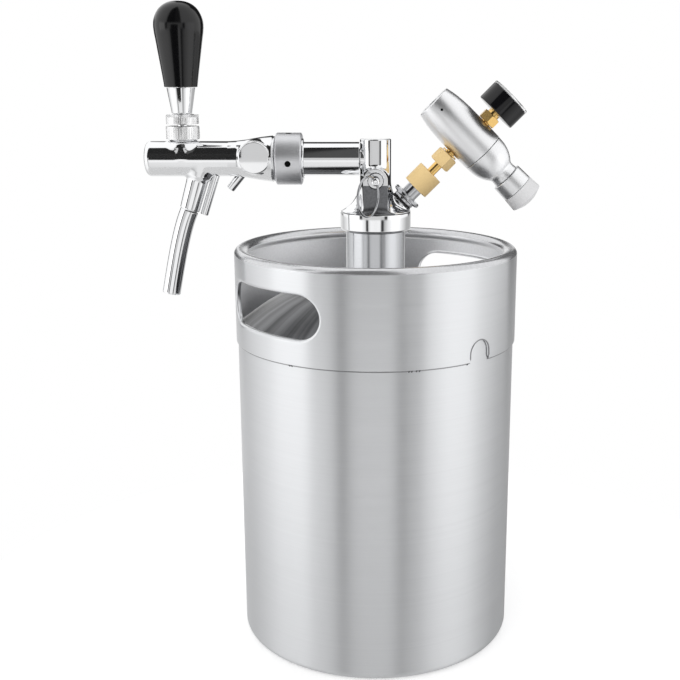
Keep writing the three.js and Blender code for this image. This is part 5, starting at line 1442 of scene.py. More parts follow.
def ribbed(thing, node, count, width, inset, margin, material):
    """Stands a ring of ribs round a turned piece on the lever's axis."""
    low, high = box_of(node)
    sizes = {
        "Count": count,
        "Radius": high.x - LEVER_AXIS.x - inset,
        "Low": low.z + margin,
        "High": high.z - margin,
        "Width": width,
        "Material": material,
    }
    ribs = from_tree("ribs", rib_ring_tree(), **sizes)
    placed(ribs, LEVER_AXIS, UP)
    ribs.data.shade_smooth()
    ribs.data.set_sharp_from_angle(angle=math.radians(50))
    return joined(thing, ribs)


EYE_WAY = Vector((-0.360353, -0.599729, 0.714473))


def make_relief_stem():
    outline = [
        (0, 10.3),
        (3.6, 10.3),
        (3.6, 11.3),
        (1.6, 11.3),
        (1.6, 16.2),
        (2.4, 16.2),
        (2.4, 26.4),
        (1.6, 27.2),
        (0, 27.2),
    ]
    mesh = spun_mesh("relief_pin", smooth_outline(outline, 0.2), False, 64)
    stem = placed(new_object("relief_pin", mesh), RELIEF_AXIS, FRONT)
    tidy_mesh(stem.data)
    eye = rod("eye", 1.5 * MM, -5 * MM, 5 * MM, 48)
    placed(eye, RELIEF_AXIS + FRONT * 22.5 * MM, EYE_WAY)
    combined(stem, eye, "DIFFERENCE")
    return bevelled(stem, 0.15 * MM, 50, 2)


RING_WIRE, RING_REACH, RING_HEADING = 0.75 * MM, 12.05 * MM, 59


def make_pull_ring():
    wire, reach = RING_WIRE, RING_REACH
    circle = [
        Vector((reach + wire * math.cos(turn), wire * math.sin(turn)))
        for turn in (math.pi * part / 12 for part in range(24))
    ]
    ring = new_object("wire_ring", spun_mesh("wire_ring", circle, True, 144))
    heading = math.radians(RING_HEADING)
    placed(ring, middle_of("pull_ring"), Vector((-math.sin(heading), math.cos(heading), 0)))
    tidy_mesh(ring.data)
    return ring


def wound(name, centre, axis, start, **sizes):
    """A coil on an axis, from the given height."""
    coil = from_tree(name, coil_tree(), **sizes)
    coil.data.transform(Matrix.Translation((0, 0, start)))
    return placed(coil, centre, axis)


def threaded(thing, centre, axis, radius, start, length, wire, material):
    """Winds a thread's ridge round a rod."""
    sizes = {"Radius": radius, "Length": length, "Wire": wire, "Sides": 6, "Steps": 32}
    turns = length / bpy.context.scene.keg_sizes.thread_pitch
    ridge = wound("thread", centre, axis, start, Turns=turns, Material=material, **sizes)
    ridge.data.shade_smooth()
    return joined(thing, ridge)


def make_spring(name, centre, axis, radius, start, length, turns, wire, material):
    sizes = {"Radius": radius, "Length": length - 2 * wire, "Wire": wire, "Sides": 12, "Steps": 40}
    spring = wound(name, centre, axis, start + wire, Turns=turns, Material=material, **sizes)
    tidy_mesh(spring.data, 60)
    return spring


def make_swivel_nut():
    nut = hexagon_bar("swivel_hexagon", 12.4 * MM, 56 * MM, 64.8 * MM, 0.2 * MM)
    combined(nut, rod("bore", 4.5 * MM, 50 * MM, 62.8 * MM, 64), "DIFFERENCE")
    combined(nut, rod("bore", 3.5 * MM, 60 * MM, 70 * MM, 64), "DIFFERENCE")
    placed(nut, GAS_ORIGIN, GAS_WAY, math.radians(-75))
    return bevelled(nut, 0.2 * MM, 25, 2)


def make_gauge_stem():
    stem = hexagon_bar("gauge_hexagon", 11 * MM, 14.3 * MM, 20.2 * MM, 0.2 * MM)
    for part in (
        rod("spigot", 3 * MM, 10.9 * MM, 15 * MM, 64, 0.2 * MM),
        rod("neck", 4 * MM, 19.4 * MM, 22.1 * MM, 64),
        rod("inside", 2.7 * MM, 21 * MM, 24.3 * MM, 48),
    ):
        combined(stem, part, "UNION")
    combined(stem, rod("way", 0.9 * MM, 5 * MM, 30 * MM, 32), "DIFFERENCE")
    placed(stem, GAUGE_AXIS, GAS_WAY, math.radians(-90))
    return bevelled(stem, 0.15 * MM, 30, 2)


# The gauge's own frame: +Z away from the barrel, +X towards the foot of the dial
GAUGE_FRAME = Matrix.Translation(GAUGE_AXIS) @ Matrix(
    (
        (KNOB_WAY.x, BACK.x, GAS_WAY.x, 0),
        (KNOB_WAY.y, BACK.y, GAS_WAY.y, 0),
        (KNOB_WAY.z, BACK.z, GAS_WAY.z, 0),
        (0, 0, 0, 1),
    )
)


# Turns in degrees from the foot of the dial, and heights in the gauge's frame
DIAL_START, DIAL_SWEEP = -45, -270
DIAL_FACE = 31.2 * MM + 0.6 * MM
POINTER_LOW, POINTER_HIGH = 32.3 * MM, 32.8 * MM


def make_pointer():
    """Red pointer with its hub, at the zero mark."""
    low, high = POINTER_LOW, POINTER_HIGH
    blade = [(-3.6, -0.65), (0, -0.65), (8.6, -0.2), (8.6, 0.2), (0, 0.65), (-3.6, 0.65)]
    pointer = prism("red_pointer", [(x * MM, y * MM) for x, y in blade], low, high)
    hub = rod("hub", 1.8 * MM, low - 0.05 * MM, high + 0.2 * MM, 40, 0.2 * MM)
    combined(pointer, hub, "UNION")
    combined(pointer, rod("shaft", 0.9 * MM, 28 * MM, low + 0.1 * MM, 32), "UNION")
    pointer.data.transform(Matrix.Rotation(math.radians(DIAL_START), 4, "Z"))
    pointer.data.transform(GAUGE_FRAME)
    return bevelled(pointer, 0.08 * MM, 40, 2)


def plain_text(name, text):
    """Turns a text into a plain mesh object."""
    letters = new_object(name, text)
    held = bpy.context.evaluated_depsgraph_get()
    mesh = bpy.data.meshes.new_from_object(letters.evaluated_get(held), depsgraph=held)
    bpy.data.objects.remove(letters)
    bpy.data.curves.remove(text)
    return new_object(name, mesh)


def make_dial_marks():
    """Ticks and plain numbers printed on the dial."""
    ink = finish("dial_black")
    start, sweep = math.radians(DIAL_START), math.radians(DIAL_SWEEP)
    marks = []
    for count, length, width, radius in ((31, 0.9, 0.16, 9.9), (7, 1.6, 0.34, 9.6)):
        sizes = {"Radius": radius * MM, "Length": length * MM, "Width": width * MM}
        course = {"Count": count, "Start": start, "Sweep": sweep, "Material": ink}
        marks.append(from_tree("ticks", tick_arc_tree(), **sizes, **course))
    for index in range(7):
        angle = start + sweep * index / 6
        text = bpy.data.curves.new("number", "FONT")
        text.body = str(index * 10)
        text.size = 2.3 * MM
        text.align_x = "CENTER"
        text.align_y = "CENTER"
        text.extrude = 0.02 * MM
        text.resolution_u = 3
        number = plain_text("number", text)
        spot = Vector((7.2 * MM * math.cos(angle), 7.2 * MM * math.sin(angle), 0))
        number.data.transform(Matrix.Translation(spot) @ Matrix.Rotation(math.radians(90), 4, "Z"))
        marks.append(number)
    dial = marks[0]
    joined(dial, *marks[1:])
    dial.data.transform(Matrix.Translation((0, 0, DIAL_FACE + 0.02 * MM)))
    dial.data.transform(GAUGE_FRAME)
    return dial


# The studio


# A ramp's colours end at 1, so its brightness is held as a share of this
RAMP_TOP = 1.25


def ramp_of(tree, value, stops):
    """Brightness by turn round the room: stops are (degrees from the front, brightness)."""
    ramp = node(tree, "ShaderNodeValToRGB")
    ramp.color_ramp.interpolation = "LINEAR"
    elements = ramp.color_ramp.elements
    while len(elements) > 1:
        elements.remove(elements[-1])
    for index, (turn, level) in enumerate(stops):
        spot = (turn + 180) / 360
        element = elements[0] if index == 0 else elements.new(spot)
        element.position = spot
        element.color = [level / RAMP_TOP] * 3 + [1]
    tree.links.new(value, ramp.inputs["Fac"])
    lifted = node(tree, "ShaderNodeVectorMath", operation="SCALE")
    lifted.inputs["Scale"].default_value = RAMP_TOP
    tree.links.new(ramp.outputs["Color"], lifted.inputs[0])
    return lifted.outputs["Vector"]


def blended(tree, share, first, second):
    mix = node(tree, "ShaderNodeMix", data_type="RGBA")
    for socket, value in (("A", first), ("B", second)):
        if isinstance(value, tuple):
            mix.inputs[socket].default_value = value
        else:
            tree.links.new(value, mix.inputs[socket])
    tree.links.new(share, mix.inputs["Factor"])
    return mix.outputs["Result"]


def step_between(tree, value, low, high):
    made = node(tree, "ShaderNodeMapRange", interpolation_type="SMOOTHSTEP")
    made.inputs["From Min"].default_value = low
    made.inputs["From Max"].default_value = high
    tree.links.new(value, made.inputs["Value"])
    return made.outputs["Result"]


# The camera, fitted to the photo: its place, its tilt in radians and its lens in millimetres
CAMERA_SPOT = Vector((0, -0.6838, 0.3633))
CAMERA_DROP = 0.241
CAMERA_LENS = 57.0
CAMERA_SHIFT = -0.0523
LAMP_SPOT = Vector((-0.5, -0.7, 1.3))
LAMP_SIZE = 0.9
LAMP_POWER = 3.0
LAMP_AIM = Vector((0, 0, 0.15))
FLOOR_RADIUS = 0.3

# Black card seen only in polished metal: its corners from the front, in millimetres
CARD_CORNERS = [(-174, 306), (-106, 306), (-106, 400), (-174, 400)]
CARD_DEPTH = -0.12

# The room that metal shows: brightness by degrees from the front, positive to the right
ROOM_LOW = [
    (-180, 0.9), (-150, 0.8), (-130, 0.62), (-117, 0.8), (-95, 1.1), (-61, 1.2),
    (-47, 1.15), (-38, 0.95), (-33, 0.8), (-30, 0.05), (-25, 0.05), (-22, 0.78), (-15, 1.0),
    (0, 0.96), (13, 1.0), (17, 0.7), (19, 0.05), (25, 0.05), (29, 0.5), (40, 0.85),
    (62, 1.25), (80, 1.2), (101, 0.8), (122, 0.45), (142, 0.45), (180, 0.7),
]
ROOM_DEEP = [
    (-180, 0.9), (-130, 0.62), (-95, 1.0), (-61, 1.1), (-47, 1.0), (-33, 0.78), (-27, 0.5),
    (-20, 0.72), (-12, 0.85), (10, 0.85), (21, 0.5), (30, 0.65), (42, 0.85), (62, 1.08),
    (80, 1.05), (101, 0.68), (122, 0.42), (142, 0.45), (180, 0.7),
]
ROOM_LEVEL = [
    (-180, 1.0), (-165, 1.0), (-163, 0.03), (-133, 0.03), (-130, 1.0), (-90, 1.1),
    (-87, 1.7), (-60, 1.7), (-54, 1.0), (-52, 0.04), (-45, 0.04), (-43, 0.6), (-20, 0.66),
    (15, 0.66), (28, 0.6), (30, 0.04), (38, 0.04), (40, 0.9), (56, 1.3), (84, 1.3),
    (90, 1.1), (130, 1.0), (133, 0.03), (163, 0.03), (165, 1.0), (180, 1.0),
]
ROOM_ABOVE = [
    (-180, 0.03), (-168, 0.03), (-165, 1.1), (-60, 1.1), (-47, 0.9), (-44, 0.02),
    (-6, 0.02), (-4, 0.08), (20, 0.08), (24, 1.0), (130, 1.1), (136, 0.03), (180, 0.03),
]
ROOM_TOP = [
    (-180, 1.1), (-60, 1.1), (-47, 0.9), (-44, 0.02), (-6, 0.02), (-4, 0.08), (20, 0.08),
    (24, 1.0), (180, 1.1),
]


# Each ring takes over between two heights above the level, in degrees
ROOM_RINGS = (
    (ROOM_DEEP, -16, -23),
    (ROOM_LEVEL, -6.6, -5.8),
    (ROOM_ABOVE, 7, 12),
    (ROOM_TOP, 47, 51),
)

# Far below the level the room is one even grey
FOOT_HEIGHTS = (-42, -60)
FOOT_GREY = (0.78, 0.78, 0.78, 1)
CAMERA_WHITE = (1.0, 1.0, 1.0, 1)
FILL_WHITE = (0.85, 0.85, 0.85, 1)


def light_room():
    """White to the camera. Metal and glass show a white room with dark strips."""
    world = bpy.data.worlds.new("studio")
    bpy.context.scene.world = world
    world.use_nodes = True
    tree = world.node_tree
    back = tree.nodes["Background"]
    way = node(tree, "ShaderNodeTexCoord")
    parts = node(tree, "ShaderNodeSeparateXYZ")
    tree.links.new(way.outputs["Generated"], parts.inputs["Vector"])
    ahead = maths(tree, "MULTIPLY", parts.outputs["Y"], -1.0)
    turn = maths(tree, "ARCTAN2", parts.outputs["X"], ahead)
    share = maths(tree, "ADD", maths(tree, "MULTIPLY", turn, 1 / (2 * math.pi)), 0.5)
    height = maths(tree, "ARCSINE", parts.outputs["Z"], None)
    room = ramp_of(tree, share, ROOM_LOW)
    for stops, low, high in ROOM_RINGS:
        step = step_between(tree, height, math.radians(low), math.radians(high))
        room = blended(tree, step, room, ramp_of(tree, share, stops))
    sinking = step_between(tree, height, *map(math.radians, FOOT_HEIGHTS))
    room = blended(tree, sinking, room, FOOT_GREY)
    rays = node(tree, "ShaderNodeLightPath")
    through = rays.outputs["Is Transmission Ray"]
    shown = maths(tree, "MAXIMUM", rays.outputs["Is Glossy Ray"], through)
    plain = blended(tree, rays.outputs["Is Camera Ray"], FILL_WHITE, CAMERA_WHITE)
    mirrored = blended(tree, shown, plain, room)
    tree.links.new(mirrored, back.inputs["Color"])
    back.inputs["Strength"].default_value = 1.0


def floor_paint():
    """White paper floor that keeps the keg's shadow and whitens to the camera."""
    made, tree, shader = new_finish("studio_floor")
    if tree is None:
        return made
    grain = object_noise(tree, (300, 300, 300), 2)
    tinted(tree, shader, grain, (0.8, 0.8, 0.8), 0.99, 1.01)
    tree.links.new(spread(tree, grain, 0.9, 1.0), shader.inputs["Roughness"])
    shader.inputs["Emission Color"].default_value = (1, 1, 1, 1)
    shader.inputs["Specular IOR Level"].default_value = 0.0
    rays = node(tree, "ShaderNodeLightPath")
    through = rays.outputs["Is Transmission Ray"]
    shown = maths(tree, "MAXIMUM", rays.outputs["Is Camera Ray"], through)
    tree.links.new(maths(tree, "MULTIPLY", shown, 0.4), shader.inputs["Emission Strength"])
    faint = maths(tree, "MULTIPLY", rays.outputs["Is Glossy Ray"], 0.85)
    tree.links.new(maths(tree, "SUBTRACT", 1.0, faint), shader.inputs["Alpha"])
    return made


def build_card():
    """A black card beside the camera that only polished metal sees."""
    points = [(x * MM, CARD_DEPTH, z * MM) for x, z in CARD_CORNERS]
    card = new_object("black_card", mesh_from("black_card", points, [(0, 1, 2, 3)]))
    card.data.materials.append(finish("card_black"))
    card.visible_camera = False
    card.visible_diffuse = False
    card.visible_transmission = False
    card.visible_shadow = False


def build_studio():
    light_room()
    build_card()
    floor = rod("floor", FLOOR_RADIUS, -1 * MM, -0.05 * MM, 96)
    floor.data.materials.append(floor_paint())
    lamp = bpy.data.lights.new("softbox", "AREA")
    lamp.shape = "SQUARE"
    lamp.size = LAMP_SIZE
    lamp.energy = LAMP_POWER
    box = new_object("softbox", lamp)
    box.location = LAMP_SPOT
    aim = LAMP_AIM - box.location
    box.rotation_euler = aim.to_track_quat("-Z", "Y").to_euler()
    box.visible_glossy = False
    lens = bpy.data.cameras.new("camera")
    lens.lens = CAMERA_LENS
    lens.sensor_width = 36
    lens.shift_x = CAMERA_SHIFT
    camera = new_object("camera", lens)
    camera.location = CAMERA_SPOT
    camera.rotation_euler = (math.pi / 2 - CAMERA_DROP, 0, 0)
    bpy.context.scene.camera = camera
    bpy.context.scene.view_settings.view_transform = "Standard"


# Pieces


def turned(name, node, body, slot, material, centre, axis, side, segments=96, sharp=62):
    """A turned piece made, painted and put on its body in one go."""
    thing = turned_piece(name, node, centre, axis, side, segments, None, sharp)
    return ready(thing, body, slot, material, node)


def repaint(name, material):
    """Gives a node of the frame that stays its procedural material."""
    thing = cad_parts[name]
    if not thing.material_slots:
        thing.data.materials.append(material)
    for spot in thing.material_slots:
        spot.material = material


ORIGIN = Vector((0, 0, 0))
BODY_RADIUS = box_of("keg_shell")[1].x
SEAM_HEIGHT = RING_LOW.z - 0.5 * MM
# Painted shade: thickness of the dark line laid in the gap under the ring
GAP_SHADE_RADIUS = 0.4 * MM
SKIRT_IN, SKIRT_OUT = BODY_RADIUS - 0.4 * MM, BODY_RADIUS + 0.06 * MM
BREATHER_REACH = 23.5 * MM
BREATHER_RADIUS = 0.8 * MM
RELIEF_COIL = (4.5, 0.28 * MM)
PRESSURE_COIL = (4, 0.9 * MM)
THREAD_LENGTH, THREAD_WIRE = 5.5 * MM, 0.32 * MM
WELD_TURNS = (-34.6, -33.5, 12.5, 13.6, 15.4, 16.6, 37.5)


def weld_spot(turn):
    """A small flat bead of weld metal on the keg's lap line."""
    outline = on_outline([(0, -0.3), (0.9, -0.3), (0.85, 0.3), (0.6, 0.5), (0.3, 0.6), (0, 0.62)])
    spot = new_object("weld", spun_mesh("weld", outline, False, 16))
    angle = math.radians(turn)
    out = Vector((math.sin(angle), -math.cos(angle), 0))
    spot.data.transform(Matrix.Diagonal((0.55, 1.0, 1.0, 1.0)))
    placed(spot, out * BODY_RADIUS + UP * SEAM_HEIGHT, out)
    tidy_mesh(spot.data, 60)
    return spot


def gap_shade_path():
    """The course of the painted shade line: along the gap under the carrying ring, and up and over
    each drain notch.
    """
    half = NOTCH_SIZE[0] / 2 - 0.15 * MM
    path = []
    for turn in NOTCH_TURNS:
        heading = math.radians(turn)
        arch = [(-half, SEAM_HEIGHT), (-half, RING_LOW.z + (NOTCH_SIZE[1] - half) / 2)]
        arch += arc(half, math.pi, 0, 20, RING_LOW.z + NOTCH_SIZE[1] - half)
        arch += [(half, arch[1][1]), (half, SEAM_HEIGHT)]
        path += [(heading + math.asin(x / BODY_RADIUS), z) for x, z in arch]
        start = path[-1][0]
        reach = math.pi - 2 * math.asin(half / BODY_RADIUS)
        path += [(start + reach * part / 120, SEAM_HEIGHT) for part in range(1, 120)]
    return path


def make_gap_shade_line():
    """A thin dark round line laid as painted shade in the gap under the carrying ring's lower
    edge.
    """
    shade_radius = GAP_SHADE_RADIUS
    path = gap_shade_path()
    count, sides = len(path), 8
    points = []
    for index, (turn, height) in enumerate(path):
        before, after = path[index - 1], path[(index + 1) % count]
        step = (after[0] - before[0] + math.pi) % (2 * math.pi) - math.pi
        along = Vector((step * BODY_RADIUS, after[1] - before[1])).normalized()
        out = Vector((math.sin(turn), -math.cos(turn), 0))
        level = Vector((math.cos(turn), math.sin(turn), 0))
        across = level * -along.y + UP * along.x
        for side in range(sides):
            angle = 2 * math.pi * side / sides
            reach = KEG_RADIUS - 0.1 * MM if height > RING_LOW.z else BODY_RADIUS
            centre = out * reach + UP * height
            points.append(centre + out * shade_radius * math.cos(angle) + across * shade_radius * math.sin(angle))
    seam = new_object("gap_shade_line", mesh_from("gap_shade_line", points, loop_faces(count, sides)))
    tidy_mesh(seam.data, 70)
    return seam


def make_notch_backing(turn):
    """The dome's skirt, which stands behind a drain notch."""
    top = RING_LOW.z + NOTCH_SIZE[1] + 1.5 * MM
    sheet = [
        Vector((SKIRT_IN, SEAM_HEIGHT)),
        Vector((SKIRT_OUT, SEAM_HEIGHT)),
        Vector((SKIRT_OUT, top)),
        Vector((SKIRT_IN, top)),
    ]
    skirt = new_object("notch_skirt", spun_mesh("notch_skirt", sheet, True, 288))
    tidy_mesh(skirt.data)
    width = NOTCH_SIZE[0] / 2 + 2 * MM
    corners = [(-width, -1 * MM), (width, -1 * MM), (width, 25 * MM), (-width, 25 * MM)]
    return combined(skirt, radial_cutter("keep", corners, turn, RING_LOW.z), "INTERSECT")


class KEG_OT_keg(bpy.types.Operator):
    """Spin the keg's shell, its dome and its neck"""

    bl_idname = "keg.keg"
    bl_label = "Keg"

    def execute(self, context):
        shell = turned_piece("keg_body", "keg_shell", ORIGIN, UP, FRONT, 288, 0.3 * MM)
        for corner in shell.data.vertices:
            corner.co.z = max(corner.co.z, 0)
        ready(shell, "keg", "keg_steel", satin_keg_steel(), "keg_shell")
        skirts = [make_notch_backing(turn) for turn in NOTCH_TURNS]
        ready(joined(*skirts), "keg", "keg_steel", satin_keg_steel())
        # Painted shade: a dark line in the gap under the ring's lower edge and round the drain
        # notches.
        ready(make_gap_shade_line(), "keg", "keg_steel", finish("spring_steel"))
        spots = [weld_spot(turn) for turn in WELD_TURNS]
        ready(joined(*spots), "keg", "keg_steel", finish("burnt_steel"))
        along = (ORIGIN, UP, FRONT)
        # The dome gets painted shade and painted reflection streaks.
        turned("keg_top", "keg_dome", "keg", "spun_steel", dome_shade_and_streaks(), *along, 256)
        steel = finish("neck_steel")
        throat = turned("keg_throat", "keg_neck", "keg", "spun_steel", steel, *along, 192)
        # Painted shade: the band of the neck just under the collar is painted black for the shade
        # in the gap there.
        throat.data.materials.append(finish("painted_hollow_shade"))
        for face in throat.data.polygons:
            if face.center.z > box_of("union_collar")[0].z - 0.9 * MM:
                face.material_index = 1
        return {"FINISHED"}


class KEG_OT_ring(bpy.types.Operator):
    """Roll the carrying ring with its hand holes and drain notches"""

    bl_idname = "keg.ring"
    bl_label = "Carrying ring"

    def execute(self, context):
        ring = ready(make_handle_ring(), "keg", "keg_steel", satin_keg_steel(), "handle_ring")
        ring.data.materials.append(finish("rolled_steel"))
        ring.data.materials.append(finish("inner_steel"))
        for face in ring.data.polygons:
            if face.center.z > KEG_TOP - ROLL_HEIGHT:
                face.material_index = 1
            elif face.normal.dot(Vector((face.center.x, face.center.y, 0))) < -0.5 * KEG_RADIUS:
                face.material_index = 2
        ring.visible_glossy = False
        return {"FINISHED"}


class KEG_OT_head(bpy.types.Operator):
    """Cast the tap head, and turn its collar, seals and dip tube"""

    bl_idname = "keg.head"
    bl_label = "Tap head"

    def execute(self, context):
        chrome = polished_chrome()
        ready(make_head(), "head", "chrome", head_chrome(), "tap_head")
        along = (ORIGIN, UP, FRONT)
        turned("loose_collar", "union_collar", "collar", "chrome", chrome, *along, 160)
        turned("neck_seal", "neck_gasket", "head", "seal_rubber", finish("seal_rubber"), *along)
        turned("tube_seal", "dip_tube_seal", "head", "seal_rubber", finish("seal_rubber"), *along)
        turned("beer_tube", "dip_tube", "head", "spun_steel", finish("spun_steel"), *along)
        repaint("retaining_ring", finish("spring_steel"))
        return {"FINISHED"}


class KEG_OT_arm(bpy.types.Operator):
    """Turn the arm between the head and the faucet, with its coupling nut"""

    bl_idname = "keg.arm"
    bl_label = "Arm and coupling nut"

    def execute(self, context):
        chrome = polished_chrome()
        turned("arm_pipe", "arm_tube", "head", "chrome", chrome, ARM_AXIS, LEFT, FRONT)
        turned("arm_stop_ring", "arm_ring", "head", "chrome", chrome, ARM_AXIS, LEFT, FRONT)
        rubber = finish("seal_rubber")
        turned("arm_seal", "coupling_washer", "head", "seal_rubber", rubber, ARM_AXIS, LEFT, FRONT)
        nut = make_coupling_nut()
        # The spanner holes get painted shade inside.
        paint_spanner_hole_shade(ready(nut, "head", "satin_nickel", finish("satin_nickel"), "coupling_nut"))
        return {"FINISHED"}


class KEG_OT_faucet(bpy.types.Operator):
    """Cast the faucet, and add its bonnet nut, cap, spout and vent tube"""

    bl_idname = "keg.faucet"
    bl_label = "Faucet"

    def execute(self, context):
        chrome = polished_chrome()
        ready(make_faucet(), "head", "chrome", chrome, "faucet_body")
        nut = turned_piece("bonnet", "bonnet_nut", LEVER_AXIS, UP, FRONT)
        ribs = context.scene.keg_sizes.nut_ribs
        ribbed(nut, "bonnet_nut", ribs, 0.8 * MM, 0.32 * MM, 0.9 * MM, chrome)
        ready(nut, "head", "chrome", finish("knurled_nickel"), "bonnet_nut")
        nylon = finish("white_nylon")
        turned("lever_cup", "lever_seat", "head", "white_nylon", nylon, LEVER_AXIS, UP, FRONT)
        rubber = finish("seal_rubber")
        turned("lever_ring", "lever_washer", "head", "seal_rubber", rubber, LEVER_AXIS, UP, FRONT)
        turned("flow_end_cap", "flow_cap", "head", "chrome", chrome, FLOW_HUB, FRONT, DOWN)
        ready(make_spout(), "head", "chrome", chrome, "spout_tube")
        ready(make_vent(), "head", "chrome", chrome, "vent_tube")
        return {"FINISHED"}


def make_vent():
    """Short vent tube pressed into the faucet."""
    start, way = down_line(VENT)
    return turned_piece("vent_pipe", "vent_tube", start, way, way.cross(FRONT), 64)


class KEG_OT_handle(bpy.types.Operator):
    """Turn the lever, its lock ring, ferrule and glossy handle, and repaint the shuttle it works
    and its seal
    """

    bl_idname = "keg.handle"
    bl_label = "Handle"

    def execute(self, context):
        chrome = polished_chrome()
        turned("lever_rod", "lever_stem", "lever", "chrome", chrome, LEVER_AXIS, UP, FRONT)
        ring = turned_piece("lock_ring", "handle_lock_ring", LEVER_AXIS, UP, FRONT)
        ribs = context.scene.keg_sizes.ring_ribs
        ribbed(ring, "handle_lock_ring", ribs, 0.5 * MM, 0.2 * MM, 0.5 * MM, chrome)
        ready(ring, "lever", "chrome", finish("knurled_nickel"), "handle_lock_ring")
        turned("ferrule", "handle_ferrule", "lever", "chrome", chrome, LEVER_AXIS, UP, FRONT, 128)
        black = handle_black()
        turned("handle", "tap_handle", "lever", "handle_black", black, LEVER_AXIS, UP, FRONT, 160)
        repaint("shuttle", finish("spun_steel"))
        repaint("shuttle_seal", finish("seal_rubber"))
        return {"FINISHED"}


class KEG_OT_flow(bpy.types.Operator):
    """Add the flow control's plug and its short lever"""

    bl_idname = "keg.flow"
    bl_label = "Flow control"

    def execute(self, context):
        chrome = polished_chrome()
        along = (FLOW_HUB, FLOW_WAY, FRONT)
        turned("flow_rod", "flow_lever", "flow_control", "chrome", chrome, *along)
        repaint("flow_barrel", finish("spun_steel"))
        return {"FINISHED"}


class KEG_OT_relief(bpy.types.Operator):
    """Build the relief valve: plug, spring, seal, pin and pull ring"""

    bl_idname = "keg.relief"
    bl_label = "Relief valve"

    def execute(self, context):
        chrome = polished_chrome()
        along = (RELIEF_AXIS, FRONT, DOWN)
        turned("relief_guide", "relief_plug", "head", "spun_steel", chrome, *along)
        rubber = finish("seal_rubber")
        turned("relief_disc", "relief_seal", "relief", "seal_rubber", rubber, *along)
        ready(make_relief_stem(), "relief", "chrome", chrome, "relief_stem")
        low, high = box_of("relief_spring")
        turns, wire = RELIEF_COIL
        radius = (high.x - low.x) / 2 - wire
        steel = finish("spring_steel")
        spring = make_spring(
            "relief_coil", RELIEF_AXIS, FRONT, radius, -high.y, high.y - low.y, turns, wire, steel
        )
        ready(spring, "head", "spring_steel", steel, "relief_spring")
        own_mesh(spring)
        wire = polished_chrome("ring_wire", (0.45, 0.455, 0.47))
        ready(make_pull_ring(), "pull_ring", "spring_steel", wire, "pull_ring")
        return {"FINISHED"}


class KEG_OT_gas(bpy.types.Operator):
    """Build the gas line: post, lock nut, coupler and swivel nut"""

    bl_idname = "keg.gas"
    bl_label = "Gas line"

    def execute(self, context):
        rubber = finish("seal_rubber")
        steel = finish("plated_steel")
        turned("post_seal", "gas_ring", "head", "seal_rubber", rubber, GAS_ORIGIN, GAS_WAY, FRONT)
        post = turned_piece("threaded_post", "gas_post", GAS_ORIGIN, GAS_WAY, FRONT)
        outline = section_of("gas_post", GAS_ORIGIN, GAS_WAY, FRONT)[0]
        reach = max(point.x for point in outline)
        top = max(point.y for point in outline)
        length, wire = THREAD_LENGTH, THREAD_WIRE
        start = top - length - 0.6 * MM
        threaded(post, GAS_ORIGIN, GAS_WAY, reach - 0.1 * MM, start, length, wire, steel)
        ready(post, "head", "plated_steel", steel, "gas_post")
        along = (GAS_ORIGIN, GAS_WAY, FRONT)
        turned("post_lock_nut", "gas_lock_nut", "head", "plated_steel", steel, *along, sharp=40)
        brass = pale_brass()
        turned("coupler", "gas_coupler", "head", "pale_brass", brass, *along)
        turned("stem", "gas_stem", "head", "gold_brass", gold_brass(), *along)
        ready(make_swivel_nut(), "nut", "pale_brass", brass, "swivel_nut")
        return {"FINISHED"}


class KEG_OT_regulator(bpy.types.Operator):
    """Turn the regulator's barrel and cap, its inner pieces and its knob"""

    bl_idname = "keg.regulator"
    bl_label = "Regulator"

    def execute(self, context):
        satin = finish("satin_aluminium")
        frost = finish("frosted_aluminium")
        rubber = finish("seal_rubber")
        spun = finish("spun_steel")
        along = (BARREL_AXIS, KNOB_WAY, FRONT)
        gold = gold_brass()
        outlet = (GAS_ORIGIN, GAS_WAY, FRONT)
        turned("outlet_ring", "outlet_collar", "regulator", "gold_brass", gold, *outlet)
        barrel = turned_piece("barrel", "regulator_barrel", BARREL_AXIS, KNOB_WAY, BACK, 160)
        vent = BARREL_AXIS - KNOB_WAY * BREATHER_REACH
        drill = placed(rod("breather", BREATHER_RADIUS, 9.5 * MM, 16 * MM, 32), vent, FRONT)
        combined(barrel, drill, "DIFFERENCE")
        tidy_mesh(barrel.data, 50)
        ready(barrel, "regulator", "satin_aluminium", satin, "regulator_barrel")
        # Painted shade: the breather hole's inside is painted black for the shade in its depth.
        painted_hole_shade(barrel, vent, FRONT, BREATHER_RADIUS + 0.02 * MM, 9 * MM, 12.4 * MM)
        turned("cap", "regulator_cap", "regulator", "satin_aluminium", satin, *along, 160, 40)
        for name, inside, body, slot, material in (
            ("socket_seal", "cartridge_seal", "regulator", "seal_rubber", rubber),
            ("pin", "piercing_pin", "regulator", "spun_steel", spun),
            ("piston", "regulator_piston", "piston", "gold_brass", gold),
            ("piston_o_ring", "piston_seal", "piston", "seal_rubber", rubber),
            ("button", "spring_button", "screw", "gold_brass", gold),
            ("screw", "adjusting_screw", "screw", "spun_steel", spun),
        ):
            turned(name, inside, body, slot, material, *along)
        turned("knob_band", "knob_collar", "knob", "chrome", satin, *along, 128)
        turned("knob", "knob_grip", "knob", "frosted_aluminium", frost, *along, 128)
        low, high = box_of("main_spring")
        outer = (high.y - low.y) / 2
        turns, wire = PRESSURE_COIL
        length = (high.x - low.x) * math.sqrt(2) - 2 * outer
        start = ((low + high) / 2 - BARREL_AXIS).dot(KNOB_WAY) - length / 2
        steel = finish("spring_steel")
        spring = make_spring(
            "pressure_coil", BARREL_AXIS, KNOB_WAY, outer - wire, start, length, turns, wire, steel
        )
        ready(spring, "regulator", "spring_steel", steel, "main_spring")
        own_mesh(spring)
        return {"FINISHED"}


